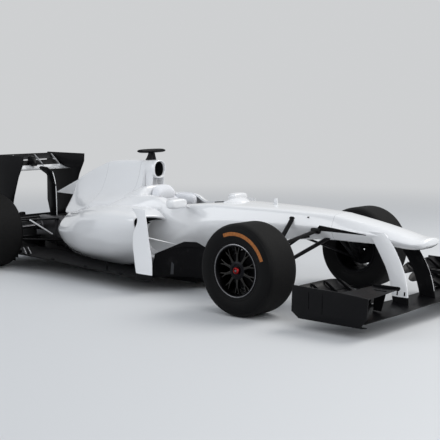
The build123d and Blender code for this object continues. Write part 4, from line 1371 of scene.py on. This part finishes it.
def bargeboards():
    rings = []
    for share in (0, 0.15, 0.5, 0.8, 0.965, 1):
        outer = []
        for foot_x, foot_y, top_x, top_y, top_z in BARGEBOARD_PLAN:
            x = foot_x + (top_x - foot_x) * share
            y = foot_y + (top_y - foot_y) * share
            outer.append((x, y, BARGEBOARD_FOOT + (top_z - BARGEBOARD_FOOT) * share))
        ring = outer + [(x - 3, y - 5, z) for x, y, z in reversed(outer)]
        rings.append([at(*point) for point in ring])
    obj = bridged("bargeboard", rings)

    def at_end(edge):
        for ring in (rings[0], rings[-1]):
            if all(any((vert.co - point).length < NEAR for point in ring) for vert in edge.verts):
                return True
        return False

    creased(obj, at_end)
    creased(obj, lambda edge: abs(edge.verts[0].co.z - edge.verts[1].co.z) > 0.004, 0.8)
    object_mode()
    parts = [rounded(obj)]
    parts += [level("bargeboard_shelf", z, BARGEBOARD_SHELF, 3, 0.001) for z in (150, 210)]
    done(pair("bargeboard_pair", *parts), FLOOR_CARBON, "bargeboards")


def bargeboard_blades():
    corners = [at(*point) for point in BLADE_CORNERS]
    blade = plate("bargeboard_blade", corners, Vector((0.0022, 0.0034, 0)), 0.0008)
    done(pair("bargeboard_blades", blade), INNER)


# Cockpit

# x, half width, height of the top, height of the base
DOME_ROWS = (
    (-1500, 80, 736, 690),
    (-1507, 98, 760, 676),
    (-1526, 112, 782, 650),
    (-1556, 124, 795, 640),
    (-1588, 130, 799, 640),
)


def headrest():
    rings = []
    for x, half, top, base in DOME_ROWS:
        tall = top - base
        side = [
            (half, base),
            (half + 2, base + tall * 0.5),
            (half * 0.86, top - tall * 0.14),
            (half * 0.48, top - 2),
            (0, top + 2),
        ]
        rings.append(section(x, mirrored(side)))
    dome = smooth_skin("head_dome", rings)
    rear = pillow("head_pad_rear", (-1586, -150, 604), (-1500, 150, 700), 24, 3)
    sides = pair("head_pad_sides", pillow("head_pad_side", (-1588, 142, 604), (-1342, 216, 712), 26, 3))
    obj = done(joined("head_surround", [dome, rear, sides]), PAD, "headrest", 60)


SEAT_SHELL = (
    (-1152, 120), (-1190, 72), (-1558, 72), (-1630, 556),
    (-1614, 560), (-1538, 112), (-1200, 106), (-1164, 130),
)
SEAT_PAD = (
    (-1612, 548), (-1580, 372), (-1536, 118), (-1360, 112), (-1204, 110), (-1170, 130),
    (-1178, 146), (-1208, 132), (-1360, 136), (-1512, 142), (-1556, 370), (-1596, 552),
)
STRAP_PATH = ((-1606, 540), (-1570, 470), (-1548, 380), (-1530, 280), (-1470, 170), (-1400, 150))
STRAP_HALF_WIDTH = 22


def across_seat(name, outline, half, soft):
    """A shape of one side view across the seat, pulled in towards its middle line at both ends."""
    middle = sum(x for x, _ in outline) / len(outline)
    right = [(-half, 0.10), (-half + soft, 0.02), (-half / 2, 0)]
    rings = []
    for y, pull in right + [(-y, pull) for y, pull in reversed(right)]:
        rings.append([at(middle + (x - middle) * (1 - pull * 0.12), y, z) for x, z in outline])
    obj = bridged(name, rings)
    object_mode()
    return obj


def seat_shell():
    shell = edged(across_seat("seat_shell", SEAT_SHELL, 139, 12), 0.004)
    done(shell, DEEP_BLACK, "seat")


def seat_pad():
    pad = rounded(across_seat("seat_pad", SEAT_PAD, 126, 16))
    done(pad, SEAT_CLOTH, angle=60)


def harness():
    straps = []
    for y in (-58, 58):
        rings = []
        for number, (x, z) in enumerate(STRAP_PATH):
            middle = y * (1 - 0.1 * number)
            left, right = middle - STRAP_HALF_WIDTH, middle + STRAP_HALF_WIDTH
            ring = ((left, z + 6), (right, z + 6), (right, z + 10), (left, z + 10))
            rings.append(section(x + 6, ring))
        straps.append(bridged("harness_strap", rings))
        object_mode()
    done(joined("harness", straps), GRIP)


WHEEL_TILT = math.radians(25)
WHEEL_BACK = Vector((-math.cos(WHEEL_TILT), 0, math.sin(WHEEL_TILT))) / 1000
WHEEL_UP = Vector((math.sin(WHEEL_TILT), 0, math.cos(WHEEL_TILT))) / 1000
# Left and up the steering wheel's face
WHEEL_HUB = ((-80, -28), (-84, 30), (-52, 60), (52, 60), (84, 30), (80, -28), (46, -68), (-46, -68))
WHEEL_GRIP = ((40, 66), (84, 70), (118, 58), (128, 12), (122, -40), (96, -70), (40, -70))
GRIP_RADII = (0.007, 0.009, 0.012, 0.0125, 0.0125, 0.011, 0.007)
WHEEL_PADDLE = ((50, -20), (112, -24), (114, 22), (50, 26))
WHEEL_SCREEN = ((-30, 20), (30, 20), (30, 48), (-30, 48))
RED_KNOBS = ((-62, 22), (40, -40), (0, -20))
WHITE_KNOBS = ((62, 22), (-40, -40), (62, -8), (-62, -8))


def on_wheel(u, v, w):
    """A point on the steering wheel: to the left, up its face and towards the driver."""
    return at(-790, 0, 590) + Vector((0, u / 1000, 0)) + WHEEL_UP * v + WHEEL_BACK * w


def wheel_plate(name, outline, w, thickness, bevel, side=1):
    return plate(name, [on_wheel(side * u, v, w) for u, v in outline], WHEEL_BACK * thickness, bevel)


def hand_wheel():
    parts = [wheel_plate("hand_wheel_hub", WHEEL_HUB, 2, 17, 0.004)]
    for side in (-1, 1):
        path = [on_wheel(side * u, v, 12) for u, v in WHEEL_GRIP]
        parts.append(swept("hand_wheel_grip", path, GRIP_RADII))
        parts.append(wheel_plate("shift_paddle", WHEEL_PADDLE, 1, 2, 0.0008, side))
    obj = joined("hand_wheel_frame", parts)
    done(obj, GRIP, "steering_wheel", body="hand_wheel")


def wheel_controls():
    screen = wheel_plate("wheel_screen", WHEEL_SCREEN, 19, 1.5, 0.0005)
    done(screen, GLASS, body="hand_wheel")
    for finish, places in ((NUT_RED, RED_KNOBS), (WHITE, WHITE_KNOBS)):
        knobs = []
        for u, v in places:
            path = [on_wheel(u, v, w) for w in (18, 22, 24)]
            knobs.append(swept("wheel_knob", path, (0.0075, 0.0075, 0.005), 12))
        done(joined("wheel_knobs", knobs), finish, body="hand_wheel")


def column():
    path = [on_wheel(0, 0, -1 - reach) for reach in (0, 18, 22, 60, 66, 300)]
    obj = swept("steering_shaft", path, (0.0155, 0.0155, 0.013, 0.013, 0.015, 0.015), 16)
    done(obj, STEEL, "steering_column")


def cowl():
    """The raised lip round the front of the cockpit."""
    rings = []
    for number in range(11):
        turn = math.radians(-78 + 15.6 * number)
        wide, front = math.sin(turn), math.cos(turn)
        x, y = -800 + 190 * front, 140 * wide
        lean, rise = 84 * front ** 1.4, 42 * front ** 1.2
        # Distance behind the lip's foot, share of y, height
        ring = (
            (0, 1, 698),
            (lean * 0.45, 0.97, 702 + rise * 0.62),
            (lean, 0.93, 703 + rise),
            (lean + 5, 0.91, 700 + rise),
            (lean * 0.5 + 8, 0.94, 698 + rise * 0.5),
            (10, 0.96, 696),
        )
        rings.append([at(x - back, y * share, z) for back, share, z in ring])
    done(smooth_skin("cockpit_cowl", rings), WHITE, angle=60)


MIRROR_GLASS = (
    (306, 674), (310, 670), (446, 670), (450, 674), (450, 714), (446, 718), (310, 718), (306, 714),
)


def mirrors():
    shell = painted(pillow("mirror_shell", (-1084, 290, 654), (-998, 466, 734), 15, 2), WHITE)
    cut(shell, block("mirror_mouth", (-1094, 304, 668), (-1076, 452, 720)), DEEP_BLACK)
    stalk = painted(bar("mirror_stalk", at(-1030, 340, 684), at(-1030, 222, 648), 0.030, 0.011), WHITE)
    done(pair("mirror_pair", shell, stalk), None, "mirrors", 50)
    glass = plate("mirror_glass", section(-1081, MIRROR_GLASS), Vector((0.004, 0, 0)), 0)
    done(pair("mirror_glasses", glass), GLASS)


# y, chord, thickness
CAMERA_POD_HALF = ((-152, 34, 8), (-149, 52, 18), (-140, 66, 30), (-90, 70, 36))
CAMERA_POD = (*CAMERA_POD_HALF, (0, 70, 37), *((-y, *sizes) for y, *sizes in reversed(CAMERA_POD_HALF)))


def pitot_mast():
    done(vane("air_mast", AIR_MAST_SECTIONS), WHITE, "pitot_mast")


def hoop_camera():
    turns = [math.tau * number / 12 for number in range(12)]
    rings = []
    for y, chord, thick in CAMERA_POD:
        ring = [(-1696 + chord / 2 * math.cos(turn), 1080 + thick / 2 * math.sin(turn)) for turn in turns]
        rings.append(side_view(y, ring))
    parts = [smooth_skin("camera_pod", rings), vane("camera_post", CAMERA_POST_SECTIONS)]
    done(joined("hoop_camera", parts), WING_CARBON, "roll_hoop_camera", 60)


# Running gear

# Radius, y
DRUM_PROFILE = (
    (46, 684), (118, 684), (130, 689), (134, 700), (134, 728), (130, 731), (130, 737), (134, 740),
    (134, 772), (131, 779), (131, 792), (126, 799), (62, 799), (56, 794), (46, 794),
)
KINGPIN_Y = 660
PIN_LOW = 240
PIN_HIGH = 420
RACK_X = 90
RACK_Z = 512
ROD_END_Z = 380


def eye(name, x, y, z, outer, inner, half):
    """A ring round an upright pin."""
    profile = both_ways(((inner, -half), (outer - 2, -half), (outer, 2 - half)))
    return spun(name, [at(x + radius, y, z + rise) for radius, rise in profile], at(x, y), 24, axis=(0, 0, 1))


def scooped(name, low, high, soft, mouth_low, mouth_high):
    scoop = painted(pillow(name, low, high, soft), FLOOR_CARBON)
    return cut(scoop, block("scoop_mouth", mouth_low, mouth_high), FLOOR_CARBON)


def front_corners():
    pin = [at(0, KINGPIN_Y, z) for z in (227, 232, 428, 433)]
    parts = [
        axle_spun("brake_drum", 0, DRUM_PROFILE, 64),
        pillow("upright_block", (-34, 642, 273), (34, 684, 387), 10),
        swept("kingpin", pin, (0.006, 0.0088, 0.0088, 0.006), 16, 0),
        level("steering_arm", 347, ((28, 640), (104, 647), (104, 673), (28, 680)), 22, 0.003),
        scooped("brake_scoop", (52, 724, 298), (130, 777, 382), 14, (112, 733, 309), (140, 768, 371)),
    ]
    obj = joined("front_corner", parts)
    name, body = "front_corner_*", "front_upright_*"
    done_each(obj, name, FLOOR_CARBON, "upright_front_", body=body)


def rear_corners():
    x = REAR_AXLE
    parts = [
        axle_spun("brake_drum", x, DRUM_PROFILE, 64),
        pillow("rear_upright_block", (x - 50, 616, 246), (x + 50, 684, 414), 16),
        pillow("rear_caliper", (x - 112, 690, 300), (x - 60, 760, 372), 12),
    ]
    mouth = (x + 118, 650, 310), (x + 140, 696, 362)
    parts.append(scooped("rear_scoop", (x + 60, 640, 300), (x + 132, 706, 372), 14, *mouth))
    done(pair("rear_corner_pair", *parts), FLOOR_CARBON, "rear_uprights")


# Height at the kingpin, inner end, chord, thickness
FRONT_ARMS = (
    (PIN_HIGH, (178, 185, 560), 0.050, 0.022),
    (PIN_HIGH, (-270, 185, 590), 0.046, 0.018),
    (PIN_LOW, (250, 120, 510), 0.048, 0.017),
    (PIN_LOW, (-300, 150, 480), 0.048, 0.017),
)
ARM_BOSSES = (
    ((140, 168, 540), (222, 206, 584)),
    ((-298, 196, 570), (-242, 226, 597)),
    ((-58, 172, 628), (-14, 204, 652)),
)
# Outer end and inner end from the rear axle, chord, thickness
REAR_ARMS = (
    ((0, 628, 410), (250, 80, 410), 0.054, 0.018),
    ((0, 628, 410), (-60, 66, 405), 0.046, 0.018),
    ((0, 628, 250), (330, 96, 220), 0.058, 0.020),
    ((0, 628, 250), (-40, 62, 230), 0.052, 0.020),
)


def front_links():
    parts = []
    for z, end, chord, thickness in FRONT_ARMS:
        pin = at(0, KINGPIN_Y, z)
        along = (at(*end) - pin).normalized()
        parts.append(bar("front_arm", pin + along * 0.0155, at(*end), chord, thickness, taper=1.08))
    parts += [eye("arm_eye", 0, KINGPIN_Y, z, 16.5, 9.6, 9.5) for z in (PIN_LOW, PIN_HIGH)]
    parts.append(bar("pushrod", at(0, 598, 264), at(-35, 182, 640), 0.042, 0.030, taper=0.9))
    parts += [pillow("arm_boss", low, high, 10) for low, high in ARM_BOSSES]
    done(pair("front_link_pair", *parts), ARM_CARBON, "front_wishbones", 40)


def rack():
    path = [at(RACK_X, y, RACK_Z) for y in (-262, -256, 256, 262)]
    parts = [swept("rack_bar", path, (0.010, 0.0135, 0.0135, 0.010), 16, 0)]
    for side in (-1, 1):
        end_y = side * KINGPIN_Y
        rod = at(RACK_X, side * 252, RACK_Z), at(RACK_X, side * 652, ROD_END_Z + 3)
        parts.append(bar("track_rod", *rod, 0.018, 0.017, 12))
        parts.append(eye("track_end", RACK_X, end_y, ROD_END_Z, 12.8, 5.5, 8.8))
        parts.append(swept("track_pin", [at(RACK_X, end_y, z) for z in (371.5, 389)], 0.0055, 12, 0))
    obj = joined("steering_links", parts)
    done(obj, ARM_CARBON, "track_rods", body="steering_rack")


BELLOWS = (34, 37, 31, 34, 27, 30, 22, 24, 17)


def halfshafts():
    profile = [(0.01, 101), (36, 101), (38, 106), (38, 118)]
    profile += [(radius, 118 + 6 * number) for number, radius in enumerate(BELLOWS)]
    profile += [(16.5, 190), (16.5, 548), (27, 560), (27.5, 566), (27.5, 680), (0.01, 680)]
    shaft = axle_spun("halfshaft", REAR_AXLE, profile, 32, closed=False)
    done_each(shaft, "halfshaft", STEEL, "driveshaft_", body="rear_wheel_*")


def rear_links():
    parts = []
    for start, end, chord, thickness in REAR_ARMS:
        ends = [at(x + REAR_AXLE, y, z) for x, y, z in (start, end)]
        parts.append(bar("rear_arm", *ends, chord, thickness))
    done(pair("rear_link_pair", *parts), ARM_CARBON, "rear_wishbones", 40)
    stay = bar("rear_stay", at(-2738, 500, 441), at(-2732, 252, 292), 0.020, 0.014)
    done(pair("rear_stays", stay), WHITE)


# x, half width, height of the base, height of the top
GEARBOX_ROWS = (
    (-2302, 150, 110, 430),
    (-2330, 146, 112, 430),
    (-2600, 122, 128, 430),
    (-2800, 105, 140, 430),
    (-3000, 90, 164, 425),
    (-3150, 77, 188, 420),
    (-3178, 75, 190, 420),
)
RIB_ROWS = ((-3180, 75, 190, 420), (-2800, 105, 140, 430), (-2300, 150, 110, 430))
# x, half width, half height about the axle
TAIL_ROWS = ((-3181, 66, 70), (-3200, 65, 69), (-3350, 54, 54), (-3500, 43, 39), (-3519, 41, 37))
DRIVE_FLANGE = ((0.01, 60), (44, 60), (44, 92), (40, 99.5), (0.01, 99.5))
LENS_OUTLINE = ((-26, 374), (26, 374), (26, 414), (-26, 414))


def box_ring(x, half, low, high, cut_by=26):
    """A rectangle across the car with its corners cut back."""
    side = [(half - cut_by, low), (half, low + cut_by), (half, high - cut_by), (half - cut_by, high)]
    return section(x, mirrored(side))


def gearbox():
    rings = [box_ring(*row) for row in GEARBOX_ROWS]
    parts = [smooth_skin("gearbox_case", rings, across, 0.6)]
    for x in (-2420, -2560, -2700, -2860):
        half, low, high = between(RIB_ROWS, x)
        ring = box_ring(x, half + 3, low - 2, high + 2, 28)
        parts.append(plate("gearbox_rib", ring, Vector((-0.009, 0, 0)), 0.002))
    for side in (-1, 1):
        flange = [(radius, side * y) for radius, y in DRIVE_FLANGE]
        parts.append(axle_spun("drive_flange", REAR_AXLE, flange, 32, closed=False))
    done(joined("gearbox_casing", parts), CAST, "gearbox")


def tail():
    rings = [box_ring(x, half, AXLE_Z - tall, AXLE_Z + tall, 16) for x, half, tall in TAIL_ROWS]
    cone = smooth_skin("tail_cone", rings, across, 0.7)
    house = pillow("lamp_house", (-3508, -34, 362), (-3470, 34, 424), 9)
    done(joined("tail_structure", [cone, house]), WING_CARBON, "crash_structure")
    lens = plate("tail_lamp_lens", section(-3514, LENS_OUTLINE), Vector((0.010, 0, 0)), 0.002)
    done(lens, LAMP)


def body_struts():
    strut = bar("pod_strut", at(-1190, 640, 448), at(-1040, 292, 340), 0.016, 0.010)
    done(pair("body_strut_pair", strut), WHITE)


def floor_stubs():
    path = [at(-1620, 600, z) for z in (126, 132, 176, 182)]
    stub = swept("floor_stub", path, (0.006, 0.008, 0.008, 0.005))
    done(pair("floor_stubs", stub), FLOOR_CARBON)


def side_plugs():
    plug = swept("side_plug", [at(100, y, 655) for y in (158, 176, 179)], (0.006, 0.006, 0.004), 12)
    done(pair("side_plugs", plug), DEEP_BLACK)


hull()
nose()
pylons()
vanes()
cover()
hoop()
sidepods()
wheels()
front_main_plane()
front_flaps()
front_endplates()
rear_main_plane()
wing_mount()
rear_flap()
rear_endplates()
beam_wing()
floor()
floor_fins()
skid()
diffuser()
bargeboards()
bargeboard_blades()
headrest()
seat_shell()
seat_pad()
harness()
hand_wheel()
wheel_controls()
column()
cowl()
mirrors()
pitot_mast()
hoop_camera()
front_corners()
rear_corners()
front_links()
rack()
halfshafts()
rear_links()
gearbox()
tail()
body_struts()
floor_stubs()
side_plugs()

for slot in nodes["engine_block"].material_slots:
    slot.material = CAST

# Studio

PALE = (0.62, 0.63, 0.64)
SKY = (0.88, 0.93, 1.0)
SKY_STRENGTH = 0.55
FADE_FROM, FADE_FULL = 4.0, 11.0


def ground():
    nothing_chosen()
    bpy.ops.mesh.primitive_plane_add(size=60, location=(0, 0, 0))
    obj = bpy.context.active_object
    obj.name = "studio_floor"
    pale = Finish("studio_floor_pale", PALE, 0.8)
    x, y, _ = pale.axes()
    far = (x * x + y * y).root().ramp(FADE_FROM, FADE_FULL)
    glow = pale.node("ShaderNodeEmission", None, {"Color": (*PALE, 1)})
    lit = Value(pale, pale.shader.outputs[0])
    mask = far * pale.seen_by("Camera", "Glossy")
    pale.show(pale.node("ShaderNodeMixShader", None, {0: mask, 1: lit, 2: glow}))
    painted(obj, pale.material)


def sky():
    world = bpy.data.worlds.new("studio_world")
    bpy.context.scene.world = world
    world.use_nodes = True
    shader = Shader(world.node_tree)
    light = shader.node("ShaderNodeBackground", None, {"Color": (*SKY, 1), "Strength": SKY_STRENGTH})
    seen = shader.node("ShaderNodeBackground", None, {"Color": (*PALE, 1)})
    mask = shader.seen_by("Camera", "Transmission", "Glossy")
    shader.show(shader.node("ShaderNodeMixShader", None, {0: mask, 1: light, 2: seen}))


def lamp(name, place, aim, size, power, colour=(1, 1, 1)):
    data = bpy.data.lights.new(name, "AREA")
    data.shape = "RECTANGLE"
    data.size, data.size_y = size
    data.energy = power
    data.color = colour
    obj = bpy.data.objects.new(name, data)
    bpy.context.scene.collection.objects.link(obj)
    obj.location = place
    obj.rotation_euler = (Vector(aim) - Vector(place)).to_track_quat("-Z", "Y").to_euler()


SENSOR = 36
PICTURE_WIDTH = 440
FOCAL_PIXELS = 1018.3


def camera():
    """The photograph's camera, as fitted to the wheels and the rear wing."""
    data = bpy.data.cameras.new("camera")
    data.sensor_width = SENSOR
    data.lens = FOCAL_PIXELS / PICTURE_WIDTH * SENSOR
    obj = bpy.data.objects.new("camera", data)
    bpy.context.scene.collection.objects.link(obj)
    right = Vector((0.7540656, 0.65679147, 0.0031674))
    up = Vector((-0.07733435, 0.08399696, 0.99346057))
    ahead = Vector((-0.65223038, 0.74937939, -0.11413176))
    turn = Matrix((right, up, -ahead)).transposed().to_4x4()
    obj.matrix_world = Matrix.Translation(Vector((4.51060794 + AXLE, -6.22990838, 1.48987508))) @ turn
    bpy.context.scene.camera = obj


ground()
sky()
lamp("key_lamp", (3.5, 3.5, 6.0), (0.2, 0, 0.4), (5, 4), 300, (1.0, 0.98, 0.95))
lamp("front_lamp", (6.5, -3.0, 3.2), (0.5, 0, 0.4), (4, 3), 120)
lamp("side_lamp", (-3.0, -6.5, 4.0), (-0.5, 0, 0.5), (5, 4), 130, (0.96, 0.98, 1.0))
camera()
bpy.context.scene.view_settings.view_transform = "Standard"
